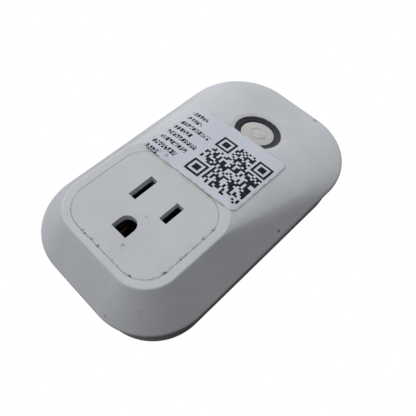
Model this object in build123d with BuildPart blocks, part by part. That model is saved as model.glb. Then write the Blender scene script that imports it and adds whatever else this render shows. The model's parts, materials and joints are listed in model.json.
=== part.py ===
from build123d import *
from math import atan2, cos, sin, sqrt
import os

# Plug-in power meter with one grounded outlet, in millimetres. The origin is on the rear face,
# midway between the two prongs. +X runs from the outlet to the button, +Z out of the front.

# ---- Housing ---------------------------------------------------------------------------------
body_length = 105.0
body_width = 63.3
outlet_end_offset = 33.5
outlet_corner_radius = 21.0
button_corner_radius = 22.4
rear_depth = 15.5
rear_inset = 2.3
rear_edge_radius = 3.0
seam_step = 0.6
lip_height = 1.1
lip_edge_radius = 1.0
edge_slack = 0.01
pad_rise = 13.0
pad_length = 40.0
pad_width = 43.8
pad_corner_radius = 11.4
pad_end_offset = 9.1
pad_edge_radius = 0.8
wall = 2.0
tongue_height = 1.1
tongue_clearance = 0.15

# ---- Outlet plate ----------------------------------------------------------------------------
plate_length = 34.1
plate_width = 37.7
plate_corner_radius = 8.9
plate_end_border = 2.4
plate_thickness = 2.6
plate_gap = 0.2
plate_edge_chamfer = 0.3
ledge_width = 2.2
ledge_thickness = 2.0
ledge_rim = 1.6
slot_spacing = 12.7
neutral_slot_length = 9.2
line_slot_length = 7.4
slot_width = 2.9
ground_offset = 11.9
ground_slot_width = 6.2
ground_slot_flat = 3.1

# ---- Plug ------------------------------------------------------------------------------------
prong_width = 6.35
prong_thickness = 1.52
prong_length = 17.0
prong_tip_chamfer = 1.4
prong_shoulder_width = 9.0
prong_shoulder_height = 1.5
prong_tab_width = 4.0
lug_width = 4.0
lug_thickness = 0.8
lug_reach = 6.6
ground_pin_radius = 2.4
ground_tip_radius = 2.1
ground_pin_length = 20.6
ground_root_radius = 2.7
ground_flange_radius = 3.6
ground_flange_height = 1.0
ground_stub_radius = 1.5
prong_clearance = 0.1
prong_block_length = 24.0
prong_block_width = 23.0
prong_block_height = 3.0
prong_block_overhang = 5.6
block_corner_radius = 1.5

# ---- Contacts and their carrier --------------------------------------------------------------
carrier_gap = 3.0
carrier_floor = 1.5
carrier_skirt = 1.5
pocket_length = 8.0
pocket_width = 5.2
ground_pocket_length = 8.0
ground_pocket_width = 7.4
contact_sheet = 0.6
contact_length = 6.0
contact_base_half = 1.7
contact_throat_half = 1.0
contact_mouth_half = 1.8
contact_bend_radius = 0.8
contact_throat_below_plate = 6.4
contact_top_below_plate = 3.2
ground_contact_height = 11.5
ground_contact_half = 2.95
ground_throat_half = 2.5
ground_mouth_half = 3.0
ground_contact_back = 3.4
ground_contact_front = 2.6
ground_tail_width = 3.4
ear_length = 6.0
ear_height = 2.5
ear_x = -6.0
ear_reach = 4.0
post_radius = 3.0

# ---- Fasteners -------------------------------------------------------------------------------
boss_radius = 3.8
boss_edge_distance = 8.5
boss_split = 8.5
case_screw_radius = 1.5
case_screw_length = 12.0
case_screw_head_radius = 2.7
case_screw_head_height = 1.7
case_screw_seat = 3.4
counterbore_radius = 3.0
small_screw_radius = 1.2
small_screw_length = 5.5
small_screw_head_radius = 2.2
small_screw_head_height = 1.4
hole_clearance = 0.2
recess_arm = 0.7
recess_depth = 0.8

# ---- Main board ------------------------------------------------------------------------------
board_start = 13.5
board_end_gap = 4.6
board_side_gap = 6.6
board_height = 4.5
board_thickness = 1.6
board_corner_radius = 2.0
board_boss_gap = 1.4
standoff_inset = 3.3

# ---- Relay -----------------------------------------------------------------------------------
relay_length = 19.0
relay_width = 15.4
relay_height = 14.5
relay_start = 1.5
relay_y = -5.8
relay_skin = 0.9
moulded_edge_radius = 0.45
relay_gap = 0.1
relay_base_height = 1.5
yoke_width = 9.0
yoke_thickness = 1.2
yoke_foot_reach = 12.2
yoke_top = 11.5
yoke_back = 1.9
core_radius = 2.0
pole_radius = 3.0
pole_thickness = 0.6
pole_gap = 0.65
coil_radius = 4.6
bobbin_radius = 5.0
bobbin_flange = 0.7
armature_length = 12.0
armature_thickness = 1.0
armature_gap = 0.3
spring_width = 3.0
spring_thickness = 0.3
rivet_radius = 1.2
rivet_height = 0.9
contact_arm = 12.6
fixed_strip = 0.6
contact_air_gap = 0.8

# ---- Parts on the main board -----------------------------------------------------------------
transformer_length = 12.6
transformer_depth = 5.0
transformer_height = 11.0
transformer_limb = 1.7
transformer_window = 2.9
transformer_yoke = 2.0
winding_width = 10.4
winding_gap = 0.2
winding_corner_radius = 1.5
transformer_place = (13.0, 9.4)
capacitor_radius = 4.0
capacitor_height = 12.0
capacitor_edge_radius = 0.9
capacitor_places = [(15.6, 20.4), (25.0, 20.4)]
fuse_size = (8.4, 4.2, 7.6)
fuse_place = (18.5, -20.4)
varistor_radius = 4.6
varistor_thickness = 4.0
varistor_edge_radius = 1.3
varistor_place = (29.5, -20.2)
lead_radius = 0.35
lead_stand = 1.2
shunt_size = (9.0, 4.0, 2.4)
shunt_sheet = 0.8
shunt_place = (-6.0, -8.6)
chip_size = (9.9, 3.9, 1.5)
chip_stand = 0.2
chip_pitch = 1.27
chip_leads = 8
chip_lead = (0.42, 1.1, 0.2)
chip_place = (-1.5, -2.6)
bridge_size = (6.4, 4.9, 2.3)
bridge_place = (-3.0, 5.0)
module_size = (14.5, 24.0, 0.8)
module_end_gap = 0.4
shield_size = (11.0, 14.0, 2.2)
shield_skin = 0.2
shield_shift = -4.2

# ---- Button, its board and the light ring ----------------------------------------------------
button_end_offset = 24.6
button_radius = 6.0
button_gap = 0.15
ring_radius = 8.45
ring_gap = 0.05
ring_flange_radius = 9.7
ring_flange = 1.1
ring_sink = 0.35
ring_inner_sink = 1.15
button_sink = 0.95
button_crown = 0.35
button_flange_radius = 7.2
button_flange = 0.9
button_flange_gap = 0.15
dish_radius = 10.0
dish_depth = 0.7
plunger_radius = 1.6
plunger_length = 1.1
press_gap = 0.1
press_travel = 0.35
switch_size = 6.0
switch_height = 3.5
switch_stem_radius = 1.75
switch_stem_stand = 0.8
switch_stem_depth = 1.6
switch_stem_gap = 0.05
button_board_thickness = 1.2
button_board_width = 31.6
button_board_back = 9.0
button_board_front = 4.8
board_post_radius = 2.4
board_post_y = 13.2
board_post_u = -3.0
led_size = (2.0, 1.25, 0.8)
led_circle = 7.6
led_angles = (90, 135, 225, 270)
pin_pitch = 2.54
pin_count = 5
pin_width = 0.64
pin_u = -7.6
header_width = 2.5
header_height = 2.5

# ---- Label and wires -------------------------------------------------------------------------
label_length = 29.4
label_width = 38.0
label_corner_radius = 2.5
label_film = 0.15
label_x = 26.6
label_y = 1.06
label_turn = 3.7
wire_radius = 1.2
wire_bend = 2.0
supply_wire_y = 17.0
load_wire_y = 20.4
load_wire_top = 13.0
wire_over_board = 10.0
wire_rise_length = 5.0
supply_pad_offset = 6.0
load_pad_offset = 10.6

# ---- Places worked out from the sizes above --------------------------------------------------
outlet_end = -outlet_end_offset
button_end = outlet_end + body_length
body_x = outlet_end + body_length / 2
seam_z = rear_depth
lip_z = seam_z + lip_height
pad_z = seam_z + pad_rise
pad_start = outlet_end + pad_end_offset
pad_end = pad_start + pad_length
pad_x = pad_start + pad_length / 2
plate_x = pad_start + plate_end_border + plate_length / 2
plate_z = pad_z - plate_thickness

slope = atan2(pad_rise - lip_height, button_end - pad_end)
slope_wall = wall * (cos(slope) + sin(slope))
button_x = button_end - button_end_offset
button_z = pad_z - (button_x - pad_end) * sin(slope) / cos(slope)
button_plane = Plane(origin=(button_x, 0, button_z), x_dir=(cos(slope), 0, -sin(slope)),
                     z_dir=(sin(slope), 0, cos(slope)))
button_section = Plane(origin=button_plane.origin, x_dir=button_plane.x_dir, z_dir=-button_plane.y_dir)
button_axis = Axis(button_plane.origin, button_plane.z_dir)

outlet_reach = (outlet_corner_radius - boss_edge_distance) / sqrt(2)
button_reach = (button_corner_radius - boss_edge_distance) / sqrt(2)
outlet_boss_x = outlet_end + outlet_corner_radius - outlet_reach
outlet_boss_y = body_width / 2 - outlet_corner_radius + outlet_reach
button_boss_x = button_end - button_corner_radius + button_reach
button_boss_y = body_width / 2 - button_corner_radius + button_reach
case_bosses = [(outlet_boss_x, outlet_boss_y), (outlet_boss_x, -outlet_boss_y),
               (button_boss_x, button_boss_y), (button_boss_x, -button_boss_y)]

prong_y = slot_spacing / 2
block_start = -ground_offset - prong_block_overhang
block_x = block_start + prong_block_length / 2
block_top = wall + prong_block_height
shoulder_top = block_top + prong_shoulder_height
ground_bus_top = block_top + ground_flange_height + lug_thickness
carrier_floor_z = block_top + carrier_gap
pocket_floor_z = carrier_floor_z + carrier_floor
carrier_height = plate_z - carrier_floor_z
ear_y = prong_block_width / 2 + ear_reach
lug_y = prong_y + lug_reach

board_end = button_end - board_end_gap
board_half_width = body_width / 2 - board_side_gap
board_step_x = button_boss_x - boss_radius - board_boss_gap
board_tongue_half = button_boss_y - boss_radius - board_boss_gap
board_top = board_height + board_thickness
standoffs = [(board_start + standoff_inset, board_half_width - standoff_inset),
             (board_start + standoff_inset, standoff_inset - board_half_width),
             (board_step_x - standoff_inset, board_half_width - standoff_inset),
             (board_step_x - standoff_inset, standoff_inset - board_half_width)]

ring_bottom = slope_wall + ring_flange
button_flange_top = ring_bottom + button_flange_gap
button_flange_bottom = button_flange_top + button_flange
plunger_end = button_flange_bottom + plunger_length
stem_top = plunger_end + press_gap
switch_top = stem_top + switch_stem_stand
button_board_top = switch_top + switch_height
button_board_bottom = button_board_top + button_board_thickness
board_posts = [(board_post_u, board_post_y), (board_post_u, -board_post_y)]

UP = (Align.CENTER, Align.CENTER, Align.MIN)
DOWN = (Align.CENTER, Align.CENTER, Align.MAX)


# ---- Shared shapes ---------------------------------------------------------------------------
def body_outline(inset, height):
    """The body seen from the front, drawn in by inset. Its corners are wider at the button end."""
    with BuildSketch(Plane.XY.offset(height)) as outline:
        with Locations((body_x, 0)):
            Rectangle(body_length - 2 * inset, body_width - 2 * inset)
        fillet(outline.vertices().group_by(Axis.X)[0], outlet_corner_radius - inset)
        fillet(outline.vertices().group_by(Axis.X)[-1], button_corner_radius - inset)
    return outline.sketch


def pad_outline(inset, height):
    """The raised flat pad round the outlet."""
    with BuildSketch(Plane.XY.offset(height)) as outline:
        with Locations((pad_x, 0)):
            RectangleRounded(pad_length - 2 * inset, pad_width - 2 * inset, pad_corner_radius - inset)
    return outline.sketch


def plate_outline(inset, height):
    """The outlet plate, or with a negative inset the recess that it drops into."""
    with BuildSketch(Plane.XY.offset(height)) as outline:
        with Locations((plate_x, 0)):
            RectangleRounded(plate_length - 2 * inset, plate_width - 2 * inset, plate_corner_radius - inset)
    return outline.sketch


def cover_form(inset):
    """The cover's solid form, drawn in by inset: an upright lip, then one ruled loft up to the pad."""
    with BuildPart() as form:
        extrude(body_outline(inset, seam_z - inset), amount=lip_height)
        loft([body_outline(inset, lip_z - inset).face(), pad_outline(inset, pad_z - inset).face()],
             ruled=True)
    return form.part


def make_screw(radius, length, head_radius, head_height):
    """A pan-head screw with a cross recess, its seat at the origin and its shank along +Z."""
    with BuildPart() as screw:
        Cylinder(radius, length, align=UP)
        Cylinder(head_radius, head_height, align=DOWN)
        fillet(screw.edges().group_by(Axis.Z)[0], head_height / 2)
        with BuildSketch(Plane.XY.offset(-head_height)):
            Rectangle(2 * head_radius * recess_arm, recess_arm)
            Rectangle(recess_arm, 2 * head_radius * recess_arm)
        extrude(amount=recess_depth, mode=Mode.SUBTRACT)
    return screw.part


def make_blade(side):
    """A flat prong with a shoulder that sits on the prong block and a lug out to its wire."""
    with BuildPart() as blade:
        with BuildSketch(Plane.XZ.offset(-side * prong_y)) as outline:
            with Locations((0, (block_top - prong_length) / 2)):
                Rectangle(prong_width, prong_length + block_top)
            chamfer(outline.vertices().group_by(Axis.Y)[0], prong_tip_chamfer)
            with Locations((0, block_top + prong_shoulder_height / 2)):
                Rectangle(prong_shoulder_width, prong_shoulder_height)
        extrude(amount=prong_thickness / 2, both=True)
        with Locations((0, side * (prong_y + lug_reach / 2 - prong_thickness / 4), shoulder_top)):
            Box(lug_width, lug_reach + prong_thickness / 2, lug_thickness, align=UP)
    return blade


def make_tulip(side):
    """A contact of two sprung leaves that pinch a blade between them, standing in its pocket."""
    base = pocket_floor_z + contact_sheet
    throat = plate_z - contact_throat_below_plate
    top = plate_z - contact_top_below_plate
    with BuildPart() as tulip:
        with BuildSketch(Plane.YZ.offset(-contact_length / 2)) as section:
            with BuildLine():
                FilletPolyline((-contact_mouth_half, top), (-contact_throat_half, throat),
                               (-contact_base_half, base), (contact_base_half, base),
                               (contact_throat_half, throat), (contact_mouth_half, top),
                               radius=contact_bend_radius)
                offset(amount=contact_sheet, side=Side.RIGHT)
            make_face()
        extrude(amount=contact_length)
    return tulip.part.moved(Location((0, side * prong_y, 0)))


def make_wire(*points):
    """An insulated wire: straight runs through the points, joined by tangent arcs."""
    with BuildPart() as wire:
        with BuildLine() as route:
            FilletPolyline(*points, radius=wire_bend)
        with BuildSketch(Plane(origin=route.line @ 0, z_dir=route.line % 0)):
            Circle(wire_radius)
        sweep(path=route.line)
    return wire


# ---- Front cover -----------------------------------------------------------------------------
with BuildPart() as cover_cavity:
    add(cover_form(wall))
    with Locations(*[(x, y, 0) for x, y in case_bosses]):
        Cylinder(boss_radius, pad_z, align=UP, mode=Mode.SUBTRACT)
    extrude(plate_outline(-ledge_rim, plate_z - ledge_thickness), amount=pad_z, mode=Mode.SUBTRACT)
    with Locations(*[button_plane * Location((u, v, 0)) for u, v in board_posts]):
        Cylinder(board_post_radius, button_board_top, align=DOWN, mode=Mode.SUBTRACT)

with BuildPart() as front_cover:
    add(cover_form(0))
    fillet(front_cover.edges().group_by(Axis.Z)[-1], pad_edge_radius)
    fillet(front_cover.edges().filter_by_position(Axis.Z, lip_z - edge_slack, lip_z + edge_slack),
           lip_edge_radius)
    add(cover_cavity.part, mode=Mode.SUBTRACT)
    with Locations(*[(x, y, boss_split) for x, y in case_bosses]):
        Cylinder(boss_radius, lip_z - boss_split, align=UP)
    with BuildSketch(Plane.XY.offset(seam_z)):
        add(body_outline(seam_step + wall / 2 + tongue_clearance, 0))
        add(body_outline(seam_step + wall - tongue_clearance, 0), mode=Mode.SUBTRACT)
    extrude(amount=-tongue_height)
    extrude(plate_outline(-plate_gap, plate_z), amount=plate_thickness, mode=Mode.SUBTRACT)
    extrude(plate_outline(ledge_width, plate_z - ledge_thickness), amount=ledge_thickness,
            mode=Mode.SUBTRACT)
    dish_sphere = (dish_radius**2 + dish_depth**2) / (2 * dish_depth)
    with Locations(button_plane * Location((0, 0, dish_sphere - dish_depth))):
        Sphere(dish_sphere, mode=Mode.SUBTRACT)
    with Locations(button_plane):
        Cylinder(ring_radius + ring_gap, 2 * slope_wall, mode=Mode.SUBTRACT)
    with Locations(*[(x, y, boss_split) for x, y in case_bosses]):
        Cylinder(case_screw_radius, case_screw_seat + case_screw_length - boss_split, align=UP,
                 mode=Mode.SUBTRACT)
    with Locations(*[button_plane * Location((u, v, -button_board_top)) for u, v in board_posts]):
        Cylinder(small_screw_radius, small_screw_length - button_board_thickness, align=UP,
                 mode=Mode.SUBTRACT)

# ---- Rear housing ----------------------------------------------------------------------------
with BuildPart() as rear_housing:
    loft([body_outline(rear_inset, 0).face(), body_outline(seam_step, seam_z).face()], ruled=True)
    fillet(rear_housing.edges().group_by(Axis.Z)[0], rear_edge_radius)
    loft([body_outline(rear_inset + wall, wall).face(), body_outline(seam_step + wall, seam_z).face()],
         ruled=True, mode=Mode.SUBTRACT)
    with BuildSketch(Plane.XY.offset(seam_z)):
        add(body_outline(seam_step + wall / 2, 0))
        add(body_outline(seam_step + 2 * wall, 0), mode=Mode.SUBTRACT)
    extrude(amount=-tongue_height - tongue_clearance, mode=Mode.SUBTRACT)
    with Locations(*[(x, y, wall) for x, y in case_bosses]):
        Cylinder(boss_radius, boss_split - wall, align=UP)
    with Locations(*[(x, y, wall) for x, y in standoffs]):
        Cylinder(post_radius, board_height - wall, align=UP)
    with Locations((ear_x, ear_y, wall), (ear_x, -ear_y, wall)):
        Cylinder(post_radius, carrier_floor_z - wall, align=UP)
    with Locations(*[(x, y, 0) for x, y in case_bosses]):
        Cylinder(counterbore_radius, case_screw_seat, align=UP, mode=Mode.SUBTRACT)
        Cylinder(case_screw_radius + hole_clearance, boss_split, align=UP, mode=Mode.SUBTRACT)
    with Locations(*[(x, y, board_top - small_screw_length) for x, y in standoffs]):
        Cylinder(small_screw_radius, small_screw_length, align=UP, mode=Mode.SUBTRACT)
    with Locations((ear_x, ear_y, carrier_floor_z + ear_height - small_screw_length),
                   (ear_x, -ear_y, carrier_floor_z + ear_height - small_screw_length)):
        Cylinder(small_screw_radius, small_screw_length, align=UP, mode=Mode.SUBTRACT)
    with BuildSketch(Plane.XY):
        with Locations((0, prong_y), (0, -prong_y)):
            Rectangle(prong_width + 2 * prong_clearance, prong_thickness + 2 * prong_clearance)
        with Locations((-ground_offset, 0)):
            Circle(ground_root_radius + prong_clearance)
    extrude(amount=wall, mode=Mode.SUBTRACT)

# ---- Outlet plate ----------------------------------------------------------------------------
with BuildPart() as outlet_plate:
    extrude(plate_outline(0, plate_z), amount=plate_thickness)
    chamfer(outlet_plate.edges().group_by(Axis.Z)[-1], plate_edge_chamfer)
    with BuildSketch(Plane.XY.offset(pad_z)):
        with Locations((0, prong_y)):
            Rectangle(neutral_slot_length, slot_width)
        with Locations((0, -prong_y)):
            Rectangle(line_slot_length, slot_width)
        with Locations((-ground_offset, 0)):
            Circle(ground_slot_width / 2)
        with Locations((-ground_offset - ground_slot_flat / 2, 0)):
            Rectangle(ground_slot_flat, ground_slot_width)
    extrude(amount=-plate_thickness, mode=Mode.SUBTRACT)

# ---- Prongs and their block ------------------------------------------------------------------
with BuildPart() as prong_carrier:
    with BuildSketch(Plane.XY.offset(wall)):
        with Locations((block_x, 0)):
            RectangleRounded(prong_block_length, prong_block_width, block_corner_radius)
        with Locations((0, prong_y), (0, -prong_y)):
            Rectangle(prong_width + 2 * prong_clearance, prong_thickness + 2 * prong_clearance,
                      mode=Mode.SUBTRACT)
        with Locations((-ground_offset, 0)):
            Circle(ground_root_radius + prong_clearance, mode=Mode.SUBTRACT)
    extrude(amount=prong_block_height)

line_blade = make_blade(-1)

neutral_blade = make_blade(1)
with neutral_blade:
    with Locations((0, prong_y, shoulder_top)):
        Box(prong_tab_width, prong_thickness, pocket_floor_z - shoulder_top, align=UP)

with BuildPart() as ground_pin:
    with Locations((-ground_offset, 0, -ground_pin_length)):
        Cylinder(ground_pin_radius, ground_pin_length, align=UP)
    fillet(ground_pin.edges().group_by(Axis.Z)[0], ground_tip_radius)
    with Locations((-ground_offset, 0, 0)):
        Cylinder(ground_root_radius, block_top, align=UP)
    with Locations((-ground_offset, 0, block_top)):
        Cylinder(ground_flange_radius, ground_flange_height, align=UP)
        Cylinder(ground_stub_radius, ground_flange_height + lug_thickness, align=UP)

# ---- Contacts and their carrier --------------------------------------------------------------
with BuildPart() as contact_carrier:
    with BuildSketch(Plane.XY.offset(carrier_floor_z)):
        with Locations((block_x, 0)):
            RectangleRounded(prong_block_length, prong_block_width, block_corner_radius)
    extrude(amount=carrier_height)
    with BuildSketch(Plane.XY.offset(block_top)):
        with Locations((block_x, 0)):
            RectangleRounded(prong_block_length, prong_block_width, block_corner_radius)
            Rectangle(prong_block_length - 2 * carrier_skirt, prong_block_width - 2 * carrier_skirt,
                      mode=Mode.SUBTRACT)
        Rectangle(lug_width + 2 * hole_clearance, prong_block_width, mode=Mode.SUBTRACT)
    extrude(amount=carrier_gap)
    with BuildSketch(Plane.XY.offset(carrier_floor_z)):
        with Locations((ear_x, 0)):
            SlotOverall(2 * ear_y + ear_length, ear_length, rotation=90)
    extrude(amount=ear_height)
    with Locations((ear_x, ear_y, carrier_floor_z), (ear_x, -ear_y, carrier_floor_z)):
        Cylinder(small_screw_radius + hole_clearance, ear_height, align=UP, mode=Mode.SUBTRACT)
    with Locations((0, prong_y, pocket_floor_z), (0, -prong_y, pocket_floor_z)):
        Box(pocket_length, pocket_width, carrier_height, align=UP, mode=Mode.SUBTRACT)
    with Locations((-ground_offset, 0, block_top)):
        Box(ground_pocket_length, ground_pocket_width, carrier_height + carrier_gap, align=UP,
            mode=Mode.SUBTRACT)
    with Locations((0, prong_y, carrier_floor_z)):
        Box(prong_tab_width + 2 * hole_clearance, prong_thickness + 2 * hole_clearance, carrier_floor,
            align=UP, mode=Mode.SUBTRACT)
    with Locations((0, -prong_y, pocket_floor_z)):
        Box(lug_width + 2 * hole_clearance, prong_block_width, contact_sheet + hole_clearance,
            align=(Align.CENTER, Align.MAX, Align.MIN), mode=Mode.SUBTRACT)

with BuildPart() as neutral_contact:
    add(make_tulip(1))

with BuildPart() as line_contact:
    add(make_tulip(-1))
    with Locations((0, -prong_y, pocket_floor_z)):
        Box(lug_width, lug_reach, contact_sheet, align=(Align.CENTER, Align.MAX, Align.MIN))

with BuildPart() as ground_contact:
    with BuildSketch(Plane((-ground_offset, 0, pocket_floor_z))):
        with BuildLine():
            FilletPolyline((ground_contact_front, -ground_mouth_half), (0, -ground_throat_half),
                           (-ground_contact_back, -ground_contact_half),
                           (-ground_contact_back, ground_contact_half), (0, ground_throat_half),
                           (ground_contact_front, ground_mouth_half), radius=contact_bend_radius)
            offset(amount=contact_sheet, side=Side.LEFT)
        make_face()
    extrude(amount=ground_contact_height)

with ground_contact:
    with Locations((-ground_offset - ground_contact_back - contact_sheet / 2, 0, ground_bus_top)):
        Box(contact_sheet, ground_tail_width, pocket_floor_z - ground_bus_top, align=UP)

with BuildPart() as ground_bus:
    with BuildSketch(Plane.XY.offset(ground_bus_top - lug_thickness)):
        with Locations((-ground_offset, 0)):
            Circle(ground_flange_radius)
            Rectangle(ground_contact_back + contact_sheet, ground_tail_width,
                      align=(Align.MAX, Align.CENTER))
            Circle(ground_stub_radius, mode=Mode.SUBTRACT)
    extrude(amount=lug_thickness)

# ---- Wires -----------------------------------------------------------------------------------
supply_z = shoulder_top + lug_thickness / 2
load_z = pocket_floor_z + contact_sheet / 2
rise_x = board_start - wire_rise_length
supply_x = board_start + supply_pad_offset
load_x = board_start + load_pad_offset

line_wire = make_wire((0, -lug_y, supply_z), (0, -supply_wire_y, supply_z),
                      (rise_x, -supply_wire_y, supply_z), (board_start, -supply_wire_y, wire_over_board),
                      (supply_x, -supply_wire_y, wire_over_board), (supply_x, -supply_wire_y, board_top))
neutral_wire = make_wire((0, lug_y, supply_z), (0, supply_wire_y, supply_z),
                         (rise_x, supply_wire_y, supply_z), (board_start, supply_wire_y, wire_over_board),
                         (supply_x, supply_wire_y, wire_over_board), (supply_x, supply_wire_y, board_top))
load_wire = make_wire((0, -lug_y, load_z), (0, -load_wire_y, load_z), (rise_x, -load_wire_y, load_wire_top),
                      (load_x, -load_wire_y, load_wire_top), (load_x, -load_wire_y, board_top))

# ---- Main board ------------------------------------------------------------------------------
with BuildPart() as main_board:
    with BuildSketch(Plane.XY.offset(board_height)) as outline:
        with Locations((board_start, 0)):
            Rectangle(board_step_x - board_start, 2 * board_half_width, align=(Align.MIN, Align.CENTER))
            Rectangle(board_end - board_start, 2 * board_tongue_half, align=(Align.MIN, Align.CENTER))
        fillet(outline.vertices(), board_corner_radius)
        with Locations(*standoffs):
            Circle(small_screw_radius + hole_clearance, mode=Mode.SUBTRACT)
    extrude(amount=board_thickness)

# ---- Relay, in its own frame on the board ----------------------------------------------------
relay_x = board_start + relay_start + relay_length / 2
relay_place = Location((relay_x, relay_y, board_top))
relay_inner_length = relay_length - 2 * relay_skin
relay_inner_width = relay_width - 2 * relay_skin
yoke_x = yoke_back - relay_inner_length / 2
hinge_x = yoke_x + yoke_thickness / 2
pole_top = yoke_top + armature_gap - pole_gap
armature_z = yoke_top + armature_gap
moving_rivet_x = hinge_x + contact_arm
fixed_rivet_top = armature_z - contact_air_gap

with BuildPart() as relay_case:
    Box(relay_length, relay_width, relay_height, align=UP)
    fillet(relay_case.edges().group_by(Axis.Z)[-1], moulded_edge_radius)
    Box(relay_inner_length, relay_inner_width, relay_height - relay_skin, align=UP, mode=Mode.SUBTRACT)

with BuildPart() as relay_base:
    Box(relay_inner_length - 2 * relay_gap, relay_inner_width - 2 * relay_gap, relay_base_height, align=UP)

with BuildPart() as relay_yoke:
    with BuildSketch(Plane.XZ) as section:
        with Locations((yoke_x, relay_base_height)):
            Rectangle(yoke_foot_reach, yoke_thickness, align=(Align.MIN, Align.MIN))
            Rectangle(yoke_thickness, yoke_top - relay_base_height, align=(Align.MIN, Align.MIN))
    extrude(amount=yoke_width / 2, both=True)

with BuildPart() as relay_core:
    with BuildSketch(Plane.XZ):
        with Locations((0, relay_base_height + yoke_thickness)):
            Rectangle(core_radius, pole_top - relay_base_height - yoke_thickness,
                      align=(Align.MIN, Align.MIN))
        with Locations((0, pole_top)):
            Rectangle(pole_radius, pole_thickness, align=(Align.MIN, Align.MAX))
    revolve(axis=Axis.Z)

coil_bottom = relay_base_height + yoke_thickness
coil_top = pole_top - pole_thickness
with BuildPart() as relay_coil:
    with BuildSketch(Plane.XZ):
        with Locations((core_radius, coil_bottom)):
            Rectangle(coil_radius - core_radius, coil_top - coil_bottom, align=(Align.MIN, Align.MIN))
            Rectangle(bobbin_radius - core_radius, bobbin_flange, align=(Align.MIN, Align.MIN))
        with Locations((core_radius, coil_top)):
            Rectangle(bobbin_radius - core_radius, bobbin_flange, align=(Align.MIN, Align.MAX))
    revolve(axis=Axis.Z)

with BuildPart() as relay_armature:
    with Locations((hinge_x - yoke_thickness / 2, 0, armature_z)):
        Box(armature_length, yoke_width, armature_thickness, align=(Align.MIN, Align.CENTER, Align.MIN))

spring_z = armature_z + armature_thickness
with BuildPart() as relay_moving_contact:
    with Locations((0, 0, spring_z)):
        Box(moving_rivet_x + rivet_radius, spring_width, spring_thickness,
            align=(Align.MIN, Align.CENTER, Align.MIN))
    with Locations((moving_rivet_x, 0, spring_z)):
        Cylinder(rivet_radius, armature_thickness, align=DOWN)

strip_x = relay_inner_length / 2 - relay_gap - fixed_strip
strip_top = fixed_rivet_top - rivet_height
with BuildPart() as relay_fixed_contact:
    with BuildSketch(Plane.XZ):
        with Locations((strip_x, strip_top)):
            Rectangle(fixed_strip, strip_top - relay_base_height, align=(Align.MIN, Align.MAX))
            Rectangle(strip_x - moving_rivet_x + rivet_radius, fixed_strip,
                      align=(Align.MAX, Align.MAX))
            Rectangle(fixed_strip, fixed_strip, align=(Align.MIN, Align.MAX))
    extrude(amount=spring_width / 2, both=True)
    with Locations((moving_rivet_x, 0, fixed_rivet_top)):
        Cylinder(rivet_radius, rivet_height, align=DOWN)

for relay_piece in (relay_case, relay_base, relay_yoke, relay_core, relay_coil, relay_armature,
                    relay_moving_contact, relay_fixed_contact):
    relay_piece.part.locate(relay_place)

# ---- Parts on the main board -----------------------------------------------------------------
transformer_x = board_start + transformer_place[0]
with BuildPart() as transformer_core:
    with BuildSketch(Plane.XZ.offset(transformer_depth / 2 - transformer_place[1])):
        with Locations((transformer_x, board_top + transformer_height / 2)):
            Rectangle(transformer_length, transformer_height)
            with GridLocations(transformer_length - 2 * transformer_limb - transformer_window, 0, 2, 1):
                Rectangle(transformer_window, transformer_height - 2 * transformer_yoke, mode=Mode.SUBTRACT)
    extrude(amount=-transformer_depth)

centre_limb = transformer_length - 2 * transformer_limb - 2 * transformer_window
with BuildPart() as transformer_winding:
    with BuildSketch(Plane.XY.offset(board_top + transformer_yoke + winding_gap)) as section:
        with Locations((transformer_x, transformer_place[1])):
            Rectangle(centre_limb + 2 * transformer_window - 2 * winding_gap, winding_width)
            fillet(section.vertices(), winding_corner_radius)
            Rectangle(centre_limb, transformer_depth, mode=Mode.SUBTRACT)
    extrude(amount=transformer_height - 2 * transformer_yoke - 2 * winding_gap)

with BuildPart() as bulk_capacitors:
    with Locations(*[(board_start + x, y, board_top) for x, y in capacitor_places]):
        Cylinder(capacitor_radius, capacitor_height, align=UP)
    fillet(bulk_capacitors.edges().group_by(Axis.Z)[-1], capacitor_edge_radius)

with BuildPart() as fuse:
    with Locations((board_start + fuse_place[0], fuse_place[1], board_top)):
        Box(*fuse_size, align=UP)
    fillet(fuse.edges().group_by(Axis.Z)[-1], moulded_edge_radius)

with BuildPart() as varistor:
    disc_z = board_top + lead_stand + varistor_radius
    with BuildSketch(Plane.XZ.offset(-varistor_place[1] - varistor_thickness / 2)):
        with Locations((board_start + varistor_place[0], disc_z)):
            Circle(varistor_radius)
    extrude(amount=varistor_thickness)
    fillet(varistor.edges(), varistor_edge_radius)
    with Locations((board_start + varistor_place[0], varistor_place[1], board_top)):
        with GridLocations(varistor_radius, 0, 2, 1):
            Cylinder(lead_radius, lead_stand + varistor_radius / 2, align=UP)

with BuildPart() as metering_shunt:
    with BuildSketch(Plane.XZ.offset(-shunt_place[1] - shunt_size[1] / 2)):
        with Locations((button_x + shunt_place[0], board_top)):
            Rectangle(shunt_size[0], shunt_size[2], align=(Align.CENTER, Align.MIN))
            Rectangle(shunt_size[0] - 2 * shunt_sheet, shunt_size[2] - shunt_sheet,
                      align=(Align.CENTER, Align.MIN), mode=Mode.SUBTRACT)
    extrude(amount=shunt_size[1])

with BuildPart() as metering_chip:
    with Locations((button_x + chip_place[0], chip_place[1], board_top + chip_stand)):
        Box(*chip_size, align=UP)
    with Locations((button_x + chip_place[0], chip_place[1], board_top)):
        with GridLocations(chip_pitch, chip_size[1] + chip_lead[1], chip_leads, 2):
            Box(*chip_lead, align=UP)
    with Locations((button_x + chip_place[0], chip_place[1], board_top)):
        with GridLocations(chip_pitch, chip_size[1] + chip_lead[2], chip_leads, 2):
            Box(chip_lead[0], chip_lead[2], chip_size[2] / 2, align=UP)

with BuildPart() as bridge_rectifier:
    with Locations((button_x + bridge_place[0], bridge_place[1], board_top)):
        Box(*bridge_size, align=UP)
    chamfer(bridge_rectifier.edges().group_by(Axis.Z)[-1], chip_stand)

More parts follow.
